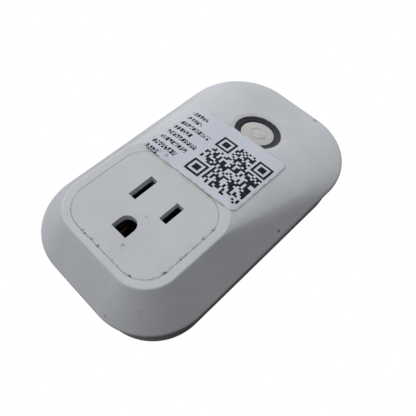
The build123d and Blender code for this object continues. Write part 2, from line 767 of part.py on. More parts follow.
module_x = board_end - module_end_gap - module_size[0] / 2
with BuildPart() as wifi_module:
    with Locations((module_x, 0, board_top)):
        Box(*module_size, align=UP)

with BuildPart() as wifi_shield:
    with Locations((module_x, shield_shift, board_top + module_size[2])):
        Box(*shield_size, align=UP)
        Box(shield_size[0] - 2 * shield_skin, shield_size[1] - 2 * shield_skin, shield_size[2] - shield_skin,
            align=UP, mode=Mode.SUBTRACT)

# ---- Light ring and button, on the slope's own plane -----------------------------------------
with BuildPart() as button_ring:
    with BuildSketch(button_section):
        with BuildLine():
            Polyline((button_radius + button_gap, -ring_inner_sink), (ring_radius, -ring_sink),
                     (ring_radius, -slope_wall), (ring_flange_radius, -slope_wall),
                     (ring_flange_radius, -ring_bottom), (button_radius + button_gap, -ring_bottom),
                     close=True)
        make_face()
    revolve(axis=button_axis)

with BuildPart() as power_button:
    with BuildSketch(button_section):
        with BuildLine():
            crown = ThreePointArc((0, -button_sink + button_crown),
                                  (button_radius / 2, -button_sink + button_crown * 3 / 4),
                                  (button_radius, -button_sink))
            Polyline(crown @ 1, (button_radius, -button_flange_top),
                     (button_flange_radius, -button_flange_top),
                     (button_flange_radius, -button_flange_bottom), (plunger_radius, -button_flange_bottom),
                     (plunger_radius, -plunger_end), (0, -plunger_end), crown @ 0)
        make_face()
    revolve(axis=button_axis)

with BuildPart(button_plane) as tact_switch_stem:
    with Locations((0, 0, -stem_top)):
        Cylinder(switch_stem_radius, switch_stem_stand + switch_stem_depth, align=DOWN)

with BuildPart(button_plane) as tact_switch:
    with Locations((0, 0, -switch_top)):
        Box(switch_size, switch_size, switch_height, align=DOWN)
        Cylinder(switch_stem_radius + switch_stem_gap, switch_stem_depth + 2 * press_travel, align=DOWN,
                 mode=Mode.SUBTRACT)

with BuildPart(button_plane) as button_board:
    with Locations((-button_board_back, 0, -button_board_top)):
        Box(button_board_back + button_board_front, button_board_width, button_board_thickness,
            align=(Align.MIN, Align.CENTER, Align.MAX))
    with Locations(*[(u, v, -button_board_top) for u, v in board_posts]):
        Cylinder(small_screw_radius + hole_clearance, button_board_thickness, align=DOWN, mode=Mode.SUBTRACT)

with BuildPart(button_plane) as status_leds:
    with Locations((0, 0, -button_board_top)):
        for angle in led_angles:
            with PolarLocations(led_circle, 1, start_angle=angle):
                Box(*led_size, align=UP)

pin_top = button_plane * Location((pin_u, 0, -button_board_bottom))
pin_x = pin_top.position.X
pin_top_z = pin_top.position.Z
with BuildPart() as board_link:
    with BuildSketch(Plane.XZ):
        with BuildLine():
            Polyline((pin_x - pin_width / 2, board_top),
                     (pin_x - pin_width / 2, pin_top_z + pin_width / 2 * sin(slope) / cos(slope)),
                     (pin_x + pin_width / 2, pin_top_z - pin_width / 2 * sin(slope) / cos(slope)),
                     (pin_x + pin_width / 2, board_top), close=True)
        make_face()
    extrude(amount=pin_width / 2, both=True)
    pin = board_link.part
    for step in range(1, pin_count // 2 + 1):
        add(pin.moved(Location((0, step * pin_pitch, 0))))
        add(pin.moved(Location((0, -step * pin_pitch, 0))))
    with Locations((pin_x, 0, board_top)):
        Box(header_width, pin_count * pin_pitch, header_height, align=UP)

# ---- Label -----------------------------------------------------------------------------------
with BuildPart() as asset_label:
    with BuildSketch(Plane.XY.offset(seam_z)):
        with Locations(Location((label_x, label_y, 0), (0, 0, label_turn))):
            RectangleRounded(label_length, label_width, label_corner_radius)
    extrude(amount=2 * pad_rise)
    add(cover_form(-label_film), mode=Mode.INTERSECT)
    add(cover_form(0), mode=Mode.SUBTRACT)

# ---- Screws ----------------------------------------------------------------------------------
case_screw = make_screw(case_screw_radius, case_screw_length, case_screw_head_radius, case_screw_head_height)
small_screw = make_screw(small_screw_radius, small_screw_length, small_screw_head_radius,
                         small_screw_head_height)

with BuildPart() as case_screws:
    with Locations(*[(x, y, case_screw_seat) for x, y in case_bosses]):
        add(case_screw)

with BuildPart() as board_screws:
    with Locations(*[Location((x, y, board_top), (180, 0, 0)) for x, y in standoffs]):
        add(small_screw)

with BuildPart() as carrier_screws:
    with Locations(*[Location((ear_x, side * ear_y, carrier_floor_z + ear_height), (180, 0, 0))
                     for side in (1, -1)]):
        add(small_screw)

with BuildPart() as button_board_screws:
    with Locations(*[button_plane * Location((u, v, -button_board_bottom)) for u, v in board_posts]):
        add(small_screw)

# ---- Files -----------------------------------------------------------------------------------
pieces = {
    "front_cover": front_cover,
    "rear_housing": rear_housing,
    "outlet_plate": outlet_plate,
    "button_ring": button_ring,
    "power_button": power_button,
    "asset_label": asset_label,
    "prong_carrier": prong_carrier,
    "line_blade": line_blade,
    "neutral_blade": neutral_blade,
    "ground_pin": ground_pin,
    "contact_carrier": contact_carrier,
    "line_contact": line_contact,
    "neutral_contact": neutral_contact,
    "ground_contact": ground_contact,
    "ground_bus": ground_bus,
    "line_wire": line_wire,
    "neutral_wire": neutral_wire,
    "load_wire": load_wire,
    "main_board": main_board,
    "relay_case": relay_case,
    "relay_base": relay_base,
    "relay_yoke": relay_yoke,
    "relay_core": relay_core,
    "relay_coil": relay_coil,
    "relay_armature": relay_armature,
    "relay_moving_contact": relay_moving_contact,
    "relay_fixed_contact": relay_fixed_contact,
    "transformer_core": transformer_core,
    "transformer_winding": transformer_winding,
    "bulk_capacitors": bulk_capacitors,
    "fuse": fuse,
    "varistor": varistor,
    "metering_shunt": metering_shunt,
    "metering_chip": metering_chip,
    "bridge_rectifier": bridge_rectifier,
    "wifi_module": wifi_module,
    "wifi_shield": wifi_shield,
    "button_board": button_board,
    "tact_switch": tact_switch,
    "tact_switch_stem": tact_switch_stem,
    "status_leds": status_leds,
    "board_link": board_link,
    "case_screws": case_screws,
    "board_screws": board_screws,
    "carrier_screws": carrier_screws,
    "button_board_screws": button_board_screws,
}

os.makedirs("parts", exist_ok=True)
for name, piece in pieces.items():
    piece.part.label = name
    export_step(piece.part, f"parts/{name}.step")
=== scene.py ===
# %% [markdown]
# # A plug-in power meter
# This lesson dresses a plug-in power meter: a white moulded unit that pushes on to a wall outlet and
# offers one grounded outlet of its own on a raised pad. Its inner parts, prongs, button and relay come
# ready made from the CAD frame, in metres, and each one sits where the design says. We add the camera,
# the light, the finishes and the few pieces whose fine shape is easier to model here.

# %% Load the frame
import json
from math import atan2, hypot, pi, radians, tan

import bmesh
import bpy
from mathutils import Matrix, Vector


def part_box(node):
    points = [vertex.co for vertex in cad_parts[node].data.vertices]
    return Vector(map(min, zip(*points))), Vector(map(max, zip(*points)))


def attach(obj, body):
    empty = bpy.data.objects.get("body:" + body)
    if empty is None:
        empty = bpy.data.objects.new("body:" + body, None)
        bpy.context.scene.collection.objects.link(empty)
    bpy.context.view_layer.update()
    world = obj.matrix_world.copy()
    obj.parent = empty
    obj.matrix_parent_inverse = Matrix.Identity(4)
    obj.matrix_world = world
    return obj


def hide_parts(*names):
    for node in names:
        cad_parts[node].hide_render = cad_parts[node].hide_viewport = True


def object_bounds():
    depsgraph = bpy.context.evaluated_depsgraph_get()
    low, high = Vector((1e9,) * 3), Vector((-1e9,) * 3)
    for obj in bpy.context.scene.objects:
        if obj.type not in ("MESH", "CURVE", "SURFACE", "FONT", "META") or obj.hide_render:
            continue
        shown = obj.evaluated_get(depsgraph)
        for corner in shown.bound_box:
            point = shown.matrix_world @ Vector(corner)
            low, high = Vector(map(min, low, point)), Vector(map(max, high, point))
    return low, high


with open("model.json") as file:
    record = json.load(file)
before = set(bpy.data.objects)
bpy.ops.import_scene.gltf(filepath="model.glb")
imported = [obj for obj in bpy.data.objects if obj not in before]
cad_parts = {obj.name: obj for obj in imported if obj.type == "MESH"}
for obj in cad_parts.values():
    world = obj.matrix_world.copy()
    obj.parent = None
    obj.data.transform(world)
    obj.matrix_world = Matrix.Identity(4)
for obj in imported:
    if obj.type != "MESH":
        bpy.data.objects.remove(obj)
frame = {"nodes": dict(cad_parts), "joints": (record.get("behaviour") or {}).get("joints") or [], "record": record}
cad_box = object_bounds()
nodes = frame["nodes"]
MM = 0.001
print(len(nodes), "CAD nodes; the whole unit spans", [[round(v, 4) for v in corner] for corner in cad_box])

# %% [markdown]
# ## Places on the unit
# Nothing is fitted by eye. The outlet plate's box gives the pad's height and the plate's place. The
# button slides along the normal of the long slope, so its joint tells us how steep the slope is, and
# one frame of axes on that slope places everything round the button.

# %% Measure the places
plate_low, plate_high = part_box("outlet_plate")
cover_low, cover_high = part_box("front_cover")
plate_middle = (plate_low + plate_high) / 2
PAD_Z = cover_high.z
PAD_END = 15.6 * MM
BUTTON_X = 46.9 * MM
SEAM_Z = 15.5 * MM

press = next(j for j in frame["joints"] if j["name"] == "button_press")
slope_normal = -Vector(press["axis"])
SLOPE = atan2(slope_normal.x, slope_normal.z)
button_centre = Vector((BUTTON_X, 0, PAD_Z - (BUTTON_X - PAD_END) * tan(SLOPE)))
button_frame = Matrix.Translation(button_centre) @ Matrix.Rotation(SLOPE, 4, "Y")
print("slope", round(SLOPE * 180 / pi, 2), "degrees; button centre", [round(v, 4) for v in button_centre])

# %% [markdown]
# ## Camera
# The unit is seen from above its outlet end, held slightly askew, with a lens of about 38 mm. The
# camera is close, about 15 cm away, so the outlet end looks larger than the button end. A camera has
# a place, an aim and a roll. The turn below holds all three.

# %% Camera
LENS, SENSOR_WIDTH = 38.16, 36.0
NEAREST = 5 * MM
CAMERA_PLACE = (-0.04084, -0.05683, 0.14164)
camera_data = bpy.data.cameras.new("camera")
camera_data.lens = LENS
camera_data.sensor_width = SENSOR_WIDTH
camera_data.clip_start = NEAREST
camera = bpy.data.objects.new("camera", camera_data)
bpy.context.scene.collection.objects.link(camera)
view_right = Vector((0.70510, -0.70835, 0.03284))
view_up = Vector((0.59897, 0.61973, 0.50712))
view_back = view_right.cross(view_up)
camera.matrix_world = Matrix.Translation(CAMERA_PLACE) @ Matrix(
    (view_right, view_up, view_back)).transposed().to_4x4()
bpy.context.scene.camera = camera
print("camera at", [round(v, 3) for v in camera.location])

# %% [markdown]
# ## Light and floor
# The light is broad and soft, like an overcast sky beyond a wide window on the far long side. That
# side is pale, the top is even, and the two walls near us fall into shade. So the sky itself is a
# smooth gradient: its brightness is a base level plus a slope along one direction, which lights every
# wall by the way it faces and casts no hard shadow. Where that sum would fall below a small value, the
# sky keeps that value, so that metal in the shade isn't black. One weak window adds the gloss on the
# ring. The backdrop is plain white: floor and sky show white to the camera only, through the Light Path
# node, while for the bounced light the floor is dark.

# %% World, lights and floor
SKY_BASE = 0.47
SKY_SLOPE = (0.04, 0.73, 0.27)
SKY_LEAST = 0.05
SKY_COLOUR = (0.943, 0.976, 1.038, 1.0)
FLOOR_BOUNCE = (0.05, 0.042, 0.037, 1.0)
WHITE = (1.0, 1.0, 1.0, 1.0)
WINDOW_POWER, WINDOW_SIZE = 0.8, 0.35
WINDOW_PLACE = (0.25, 0.75, 0.45)
WINDOW_AIM = Vector((15 * MM, 0, 15 * MM))
FLOOR_SIZE, FLOOR_DROP = 3.0, 0.2 * MM


def white_to_camera(tree, lit, white_kind, output):
    """Shows plain white where a camera ray lands and the lit shader for all other rays."""
    path = tree.nodes.new("ShaderNodeLightPath")
    white = tree.nodes.new(white_kind)
    either = tree.nodes.new("ShaderNodeMixShader")
    white.inputs["Color"].default_value = WHITE
    tree.links.new(path.outputs["Is Camera Ray"], either.inputs[0])
    tree.links.new(lit.outputs[0], either.inputs[1])
    tree.links.new(white.outputs[0], either.inputs[2])
    tree.links.new(either.outputs[0], output.inputs["Surface"])


world = bpy.data.worlds.new("soft_sky")
bpy.context.scene.world = world
world.use_nodes = True
sky_tree = world.node_tree
sky = sky_tree.nodes["Background"]
sky.inputs["Color"].default_value = SKY_COLOUR
direction = sky_tree.nodes.new("ShaderNodeTexCoord")
facing = sky_tree.nodes.new("ShaderNodeVectorMath")
facing.operation = "DOT_PRODUCT"
facing.inputs[1].default_value = SKY_SLOPE
level = sky_tree.nodes.new("ShaderNodeMath")
level.inputs[1].default_value = SKY_BASE
level.use_clamp = False
lit_only = sky_tree.nodes.new("ShaderNodeMath")
lit_only.operation = "MAXIMUM"
lit_only.inputs[1].default_value = SKY_LEAST
sky_tree.links.new(direction.outputs["Generated"], facing.inputs[0])
sky_tree.links.new(facing.outputs["Value"], level.inputs[0])
sky_tree.links.new(level.outputs[0], lit_only.inputs[0])
sky_tree.links.new(lit_only.outputs[0], sky.inputs["Strength"])
white_to_camera(sky_tree, sky, "ShaderNodeBackground", sky_tree.nodes["World Output"])

window_data = bpy.data.lights.new("window", "AREA")
window_data.energy, window_data.size = WINDOW_POWER, WINDOW_SIZE
window = bpy.data.objects.new("window", window_data)
bpy.context.scene.collection.objects.link(window)
window.location = WINDOW_PLACE
window.rotation_euler = (WINDOW_AIM - window.location).to_track_quat("-Z", "Y").to_euler()

bpy.ops.mesh.primitive_plane_add(size=FLOOR_SIZE, location=(0, 0, cad_box[0][2] - FLOOR_DROP))
floor = bpy.context.object
floor.name = "floor"
floor_white = bpy.data.materials.new("floor_white")
floor_white.use_nodes = True
floor_tree = floor_white.node_tree
floor_shader = floor_tree.nodes["Principled BSDF"]
floor_shader.inputs["Base Color"].default_value = FLOOR_BOUNCE
floor_shader.inputs["Roughness"].default_value = 0.9
white_to_camera(floor_tree, floor_shader, "ShaderNodeEmission", floor_tree.nodes["Material Output"])
floor.data.materials.append(floor_white)
bpy.context.scene.view_settings.view_transform = "Standard"
print("sky base", SKY_BASE, "with slope", SKY_SLOPE, "and one window of", WINDOW_POWER, "W")

# %% [markdown]
# ## Node helpers
# Every finish is a small graph of nodes. Wiring nodes by hand is long-winded, so a few helpers add a
# node, set what is fixed and link what is not. A value that is a socket is linked, and anything else
# is typed into the socket.

# %% Helpers for shader nodes
def put(tree, socket, value):
    """Links a socket to another one, or types a value into it."""
    if isinstance(value, bpy.types.NodeSocket):
        tree.links.new(value, socket)
    elif value is not None:
        if socket.type == "RGBA" and len(value) == 3:
            value = (*value, 1.0)
        socket.default_value = value


def add(tree, kind, sockets=(), **settings):
    """Adds one node, with its settings and its input sockets by name or number."""
    made = tree.nodes.new("ShaderNode" + kind)
    for name, value in settings.items():
        setattr(made, name, value)
    for name, value in dict(sockets).items():
        put(tree, made.inputs[name], value)
    return made


def calc(tree, operation, a, b=None, clamp=False):
    """One sum on numbers, such as ADD, MULTIPLY, SUBTRACT or ABSOLUTE."""
    made = add(tree, "Math", {0: a, 1: b}, operation=operation, use_clamp=clamp)
    return made.outputs[0]


def ramp(tree, value, low, high):
    """0 below low and 1 above high, with a smooth rise between them. With low above high it falls."""
    flip = low > high
    sockets = {"Value": value, "From Min": min(low, high), "From Max": max(low, high),
               "To Min": float(flip), "To Max": float(not flip)}
    return add(tree, "MapRange", sockets, interpolation_type="SMOOTHSTEP").outputs[0]


def mix(tree, factor, a, b):
    """A colour between a and b."""
    made = add(tree, "Mix", {"Factor": factor}, data_type="RGBA")
    put(tree, made.inputs[6], a)
    put(tree, made.inputs[7], b)
    return made.outputs[2]


def noise(tree, vector, scale, detail=2.0, roughness=0.5):
    """Cloudy noise from 0 to 1. The scale is in cells per metre."""
    sockets = {"Vector": vector, "Scale": scale, "Detail": detail, "Roughness": roughness}
    return add(tree, "TexNoise", sockets).outputs[0]


def place(tree, vector, location, rotation=(0, 0, 0)):
    """The same point, measured from a frame with that origin and turn."""
    sockets = {"Vector": vector, "Location": location, "Rotation": rotation}
    return add(tree, "Mapping", sockets, vector_type="TEXTURE").outputs[0]


def split(tree, vector):
    """The X, Y and Z of a vector."""
    return add(tree, "SeparateXYZ", {0: vector}).outputs


print("node helpers: put, add, calc, ramp, mix, noise, place, split")

# %% Helpers for groups and materials
def new_group(name, inputs, outputs):
    """An empty node group with named sockets. A default that is a tuple makes a vector or a colour."""
    tree = bpy.data.node_groups.new(name, "ShaderNodeTree")
    kinds = {float: "NodeSocketFloat", 3: "NodeSocketVector", 4: "NodeSocketColor"}
    for label, default in inputs.items():
        kind = kinds[float] if isinstance(default, float) else kinds[len(default)]
        tree.interface.new_socket(label, in_out="INPUT", socket_type=kind).default_value = default
    for label, kind in outputs.items():
        tree.interface.new_socket(label, in_out="OUTPUT", socket_type="NodeSocket" + kind)
    return tree, tree.nodes.new("NodeGroupInput").outputs, tree.nodes.new("NodeGroupOutput").inputs


def use(tree, group, sockets):
    """Places a group in a tree."""
    made = tree.nodes.new("ShaderNodeGroup")
    made.node_tree = bpy.data.node_groups[group]
    for name, value in sockets.items():
        put(tree, made.inputs[name], value)
    return made.outputs


def new_finish(name, **constants):
    """A material with a Principled shader, its constant values typed in, and Object coordinates."""
    material = bpy.data.materials.new(name)
    material.use_nodes = True
    tree = material.node_tree
    shader = tree.nodes["Principled BSDF"]
    for label, value in constants.items():
        put(tree, shader.inputs[label.replace("_", " ")], value)
    return material, tree, shader, add(tree, "TexCoord").outputs["Object"]


def bump(tree, shader, height, distance):
    """Feeds a height to the shader's normal, through one Bump node."""
    sockets = {"Height": height, "Distance": distance}
    made = add(tree, "Bump", sockets).outputs[0]
    put(tree, shader.inputs["Normal"], made)


print("group and material helpers: new_group, use, new_finish, bump")

# %% [markdown]
# ## Shared effects
# Four effects come back in many finishes, so each is a node group, built once. *Grain* is the fine
# spark-eroded texture of a mould with faint clouds of tone. *Specks* are crumbs of dirt: Voronoi cells
# of which only a share is dirty, each with a ragged spot in it. *Outline* measures how far a point lies
# from a rounded rectangle, which is what the plate, its recess and the label all are. *Wear* gives a
# metal or a moulded inner part two tones, streaks and an uneven gloss.

# %% Group: moulded grain
VECTOR = (0.0, 0.0, 0.0)
FINE_GRAIN, CLOUDS = 3200.0, 55.0
tree, given, result = new_group(
    "moulded_grain",
    {"Vector": VECTOR, "Light": (0.8, 0.8, 0.8, 1.0), "Shade": (0.7, 0.7, 0.7, 1.0), "Roughness": 0.45},
    {"Color": "Color", "Roughness": "Float", "Height": "Float"})
fine = noise(tree, given["Vector"], FINE_GRAIN, 2.0, 0.6)
cloud = noise(tree, given["Vector"], CLOUDS, 4.0, 0.6)
put(tree, result["Color"], mix(tree, ramp(tree, cloud, 0.3, 0.72), given["Light"], given["Shade"]))
uneven = calc(tree, "MULTIPLY", calc(tree, "SUBTRACT", cloud, 0.5), 0.22)
put(tree, result["Roughness"], calc(tree, "ADD", given["Roughness"], uneven, clamp=True))
put(tree, result["Height"], fine)
print("group moulded_grain, with", FINE_GRAIN, "grains and", CLOUDS, "clouds a metre")

# %% Group: specks
RAGGED_SCALE, RAGGED_SHIFT = 1800.0, 0.9 * MM
tree, given, result = new_group(
    "specks", {"Vector": VECTOR, "Scale": 200.0, "Size": 0.2, "Share": 0.2}, {"Mask": "Float"})
ragged = add(tree, "TexNoise", {"Vector": given["Vector"], "Scale": RAGGED_SCALE, "Detail": 2.0}).outputs[1]
shifted = add(tree, "VectorMath", {0: ragged, 1: (RAGGED_SHIFT, RAGGED_SHIFT, RAGGED_SHIFT)},
              operation="MULTIPLY").outputs[0]
moved = add(tree, "VectorMath", {0: given["Vector"], 1: shifted}, operation="ADD").outputs[0]
cells = add(tree, "TexVoronoi", {"Vector": moved, "Scale": given["Scale"]})
dirty = calc(tree, "LESS_THAN", split(tree, cells.outputs["Color"])[0], given["Share"])
own_size = calc(tree, "MULTIPLY", split(tree, cells.outputs["Color"])[1], given["Size"])
inside = calc(tree, "DIVIDE", calc(tree, "SUBTRACT", own_size, cells.outputs["Distance"]), own_size)
put(tree, result["Mask"], calc(tree, "MULTIPLY", ramp(tree, inside, 0.0, 0.5), dirty))
print("group specks, each edge ragged by up to", RAGGED_SHIFT / MM, "mm")

# %% Group: rounded outline
tree, given, result = new_group(
    "rounded_outline",
    {"Vector": VECTOR, "Half Length": 0.01, "Half Width": 0.01, "Radius": 0.002}, {"Distance": "Float"})
x, y, z = split(tree, given["Vector"])
over = []
for place_along, half in ((x, given["Half Length"]), (y, given["Half Width"])):
    edge = calc(tree, "SUBTRACT", half, given["Radius"])
    over.append(calc(tree, "SUBTRACT", calc(tree, "ABSOLUTE", place_along), edge))
outside = add(tree, "CombineXYZ", {0: calc(tree, "MAXIMUM", over[0], 0.0),
                                   1: calc(tree, "MAXIMUM", over[1], 0.0)}).outputs[0]
corner = add(tree, "VectorMath", {0: outside}, operation="LENGTH").outputs["Value"]
within = calc(tree, "MINIMUM", calc(tree, "MAXIMUM", over[0], over[1]), 0.0)
put(tree, result["Distance"],
    calc(tree, "SUBTRACT", calc(tree, "ADD", corner, within), given["Radius"]))
print("group rounded_outline, a distance in metres, below 0 inside")

# %% Group: wear
STREAKS, STREAK_STRETCH = 2600.0, 0.06
STREAK_TILT = (0.4, 0.7, 0.2)
tree, given, result = new_group(
    "wear",
    {"Vector": VECTOR, "Base": (0.5, 0.5, 0.5, 1.0), "Aged": (0.3, 0.3, 0.3, 1.0), "Scale": 400.0,
     "Roughness": 0.4, "Spread": 0.2},
    {"Color": "Color", "Roughness": "Float", "Height": "Float"})
patches = noise(tree, given["Vector"], given["Scale"], 4.0, 0.65)
tilted = place(tree, given["Vector"], VECTOR, STREAK_TILT)
drawn = add(tree, "VectorMath", {0: tilted, 1: (1.0, 1.0, STREAK_STRETCH)}, operation="MULTIPLY").outputs[0]
streaks = noise(tree, drawn, STREAKS, 2.0, 0.6)
both = calc(tree, "MULTIPLY", calc(tree, "ADD", patches, streaks), 0.5)
put(tree, result["Color"], mix(tree, ramp(tree, patches, 0.4, 0.7), given["Base"], given["Aged"]))
change = calc(tree, "MULTIPLY", calc(tree, "SUBTRACT", both, 0.5), given["Spread"])
put(tree, result["Roughness"], calc(tree, "ADD", given["Roughness"], change, clamp=True))
put(tree, result["Height"], both)
print("group wear, with", STREAKS, "streaks a metre")

# %% [markdown]
# ## White shell
# The cover is a matte white moulding that has been handled for years. It has a satin grain, a few
# brown specks, grime caught along the recess round the outlet plate, a brown line where the label's
# adhesive picks up dirt, and a beige ring of dirt in the dish round the button. The tray behind the
# seam is a slightly warmer white. It turns brown under the seam at the near corner of the outlet end,
# which is partly grime and partly painted shade. All the dirt is placed by distance from the real edges,
# so it stays put from every side.

# %% Dirt that follows the edges
LABEL_MIDDLE = (26.6 * MM, 1.06 * MM, 0.0)
LABEL_TURN = radians(3.7)
LABEL_SIZE = (29.4 * MM, 38.0 * MM, 2.5 * MM)
PLATE_SIZE = (plate_high.x - plate_low.x, plate_high.y - plate_low.y, 8.9 * MM)
BROWN, TAN, BEIGE = (0.14, 0.085, 0.045), (0.42, 0.33, 0.21), (0.60, 0.56, 0.47)
GROOVE_REACH, STAIN_REACH, LINE_REACH = 0.8 * MM, 1.6 * MM, 0.35 * MM
WORN_FROM, WORN_TO = 6.0 * MM, -16.0 * MM
END_FROM, END_TO = -13.0 * MM, -14.6 * MM
END_SHARE = 0.75
HALO_RADIUS, HALO_REACH = 9.1 * MM, 1.5 * MM
SPECK_STRENGTH = 0.75
SPECK_LAYERS = ((120.0, 0.16, 0.45, TAN), (170.0, 0.13, 0.13, BROWN), (420.0, 0.16, 0.05, BROWN))


def outline(tree, vector, size):
    """Distance from a rounded rectangle of that length, width and corner radius."""
    sockets = {"Vector": vector, "Half Length": size[0] / 2, "Half Width": size[1] / 2, "Radius": size[2]}
    return use(tree, "rounded_outline", sockets)["Distance"]


def near_edge(tree, distance, reach):
    """1 on an edge, falling to 0 at that reach on both sides of it."""
    return ramp(tree, calc(tree, "ABSOLUTE", distance), reach, 0.0)


def patchy(tree, vector, mask, scale, low, high):
    """Breaks a mask up, as dirt never lies evenly."""
    return calc(tree, "MULTIPLY", mask, ramp(tree, noise(tree, vector, scale, 3.0), low, high))


def dirty(tree, vector, colour):
    """Adds the edge dirt and the specks to a colour."""
    plate_point = place(tree, vector, (plate_middle.x, plate_middle.y, 0.0))
    label_point = place(tree, vector, LABEL_MIDDLE, (0.0, 0.0, LABEL_TURN))
    button_point = place(tree, vector, tuple(button_centre), (0.0, SLOPE, 0.0))
    groove = outline(tree, plate_point, PLATE_SIZE)
    label_edge = outline(tree, label_point, LABEL_SIZE)
    from_button = split(tree, button_point)
    flat = add(tree, "CombineXYZ", {0: from_button[0], 1: from_button[1]}).outputs[0]
    radius = add(tree, "VectorMath", {0: flat}, operation="LENGTH").outputs["Value"]
    worn_side = ramp(tree, calc(tree, "ADD", *split(tree, plate_point)[:2]), WORN_FROM, WORN_TO)
    grime = calc(tree, "MULTIPLY", near_edge(tree, groove, GROOVE_REACH), worn_side)
    colour = mix(tree, patchy(tree, vector, grime, 520.0, 0.47, 0.76), colour, TAN)
    colour = mix(tree, patchy(tree, vector, grime, 900.0, 0.57, 0.67), colour, BROWN)
    side = ramp(tree, split(tree, label_point)[0], END_FROM, END_TO)
    stain = calc(tree, "MULTIPLY", side, near_edge(tree, label_edge, STAIN_REACH))
    colour = mix(tree, patchy(tree, vector, stain, 260.0, 0.35, 0.8), colour, TAN)
    share = calc(tree, "ADD", calc(tree, "MULTIPLY", side, END_SHARE), 1.0 - END_SHARE)
    line = calc(tree, "MULTIPLY", near_edge(tree, label_edge, LINE_REACH), share)
    colour = mix(tree, patchy(tree, vector, line, 500.0, 0.3, 0.6), colour, BROWN)
    halo = near_edge(tree, calc(tree, "SUBTRACT", radius, HALO_RADIUS), HALO_REACH)
    colour = mix(tree, patchy(tree, vector, halo, 330.0, 0.2, 0.9), colour, BEIGE)
    for scale, size, share, tone in SPECK_LAYERS:
        spots = use(tree, "specks", {"Vector": vector, "Scale": scale, "Size": size, "Share": share})
        colour = mix(tree, calc(tree, "MULTIPLY", spots["Mask"], SPECK_STRENGTH), colour, tone)
    return colour


print("groove", [round(side / MM, 2) for side in PLATE_SIZE], "mm; label",
      [round(side / MM, 2) for side in LABEL_SIZE], "mm;", len(SPECK_LAYERS), "layers of specks")

# %% Shell, plate, button and tray finishes
# The tray turns brown under the seam at the near corner. This is partly grime and partly painted shade of the side
# in shade.
SHADE_GRIME_BOTTOM, SHADE_GRIME_TOP = -4.0 * MM, SEAM_Z - 3.0 * MM
CORNER_FROM, CORNER_TO = -8.0 * MM, -34.0 * MM
TRAY_SHADE_AND_GRIME = (0.44, 0.385, 0.34)


def seam_shade_and_grime(tree, vector, colour):
    """Brown under the seam at the near corner of the outlet end: partly grime, partly painted shade."""
    x, y, z = split(tree, vector)
    under_seam = ramp(tree, z, SHADE_GRIME_BOTTOM, SHADE_GRIME_TOP)
    near_corner = ramp(tree, calc(tree, "ADD", x, y), CORNER_FROM, CORNER_TO)
    return mix(tree, calc(tree, "MULTIPLY", under_seam, near_corner), colour, TRAY_SHADE_AND_GRIME)


def moulded(name, light, shade, roughness, grain_depth, dirt_and_shade):
    """A satin moulding: tone clouds, fine grain, and the dirt of the front or the tray's grime and painted shade,
    if any.
    """
    material, tree, shader, vector = new_finish(name, Specular_IOR_Level=0.4)
    sockets = {"Vector": vector, "Light": light, "Shade": shade, "Roughness": roughness}
    grain = use(tree, "moulded_grain", sockets)
    colour = dirt_and_shade(tree, vector, grain["Color"]) if dirt_and_shade else grain["Color"]
    put(tree, shader.inputs["Base Color"], colour)
    put(tree, shader.inputs["Roughness"], grain["Roughness"])
    bump(tree, shader, grain["Height"], grain_depth)
    return material


finishes = {
    "cover_plastic": moulded("satin_white_shell", (0.70, 0.70, 0.70), (0.64, 0.64, 0.64), 0.42,
                             0.02 * MM, dirty),
    "plate_plastic": moulded("satin_white_plate", (0.68, 0.685, 0.68), (0.62, 0.625, 0.62), 0.36,
                             0.01 * MM, dirty),
    "button_plastic": moulded("cream_button", (0.66, 0.63, 0.58), (0.58, 0.55, 0.50), 0.46,
                              0.015 * MM, dirty),
    "block_plastic": moulded("black_nylon", (0.030, 0.030, 0.030), (0.018, 0.018, 0.018), 0.6,
                             0.03 * MM, None),
}
# The tray's finish carries that painted shade and grime under its seam.
rear_plastic = moulded("white_tray_shade_and_grime", (0.62, 0.61, 0.59), (0.54, 0.53, 0.51), 0.5, 0.03 * MM,
                       seam_shade_and_grime)
print("moulded finishes:", sorted(finishes), "and", rear_plastic.name)

# %% [markdown]
# ## Printed label
# The label is coated paper with text and a square code printed on it. We print only greeked text,
# rows of small random strokes that can't be read, and a block pattern with three finder squares that
# encodes nothing. Both come from White Noise on snapped coordinates: every cell of the grid gets one
# random value, and a threshold turns it into ink or paper.

# %% Label layout
MODULE = 0.84 * MM
CODE_MODULES = 25
CODE_MIDDLE = (-1.8 * MM, -7.2 * MM, 0.0)
ROW_PITCH = 3.41 * MM
ROW_COUNT = 8
FIRST_ROW = -13.9 * MM
TEXT_START = 18.3 * MM
LETTER_WIDTH, LETTER_HEIGHT = 1.26 * MM, 1.9 * MM
ROW_LETTERS = (4, 8, 9, 10, 6, 10, 5, 5)
INK, PAPER, PAPER_SHADE = (0.005, 0.005, 0.008), (0.74, 0.76, 0.80), (0.67, 0.69, 0.74)
CODE_SEED, TEXT_SEED = 7.0, 3.0
CODE_BLANK, TEXT_BLANK = 0.49, 0.27
FINDER_HALF, FINDER_GAP, FINDER_EYE, FINDER_CLEAR = 3.5, 2.5, 1.5, 4.5
LETTER_FILL, STROKES_PER_LETTER = 0.40, 3.0
MOST_LETTERS = 16.0


def random_cells(tree, x, y, width, height, seed):
    """One random value from 0 to 1 for each cell of a grid."""
    column = calc(tree, "FLOOR", calc(tree, "DIVIDE", x, width))
    row = calc(tree, "FLOOR", calc(tree, "DIVIDE", y, height))
    cell = add(tree, "CombineXYZ", {0: column, 1: row, 2: seed}).outputs[0]
    return add(tree, "TexWhiteNoise", {"Vector": cell}).outputs["Value"]


def square_distance(tree, x, y, middle):
    """Distance from a point, measured as a square grows."""
    across = calc(tree, "ABSOLUTE", calc(tree, "SUBTRACT", x, middle[0]))
    along = calc(tree, "ABSOLUTE", calc(tree, "SUBTRACT", y, middle[1]))
    return calc(tree, "MAXIMUM", across, along)


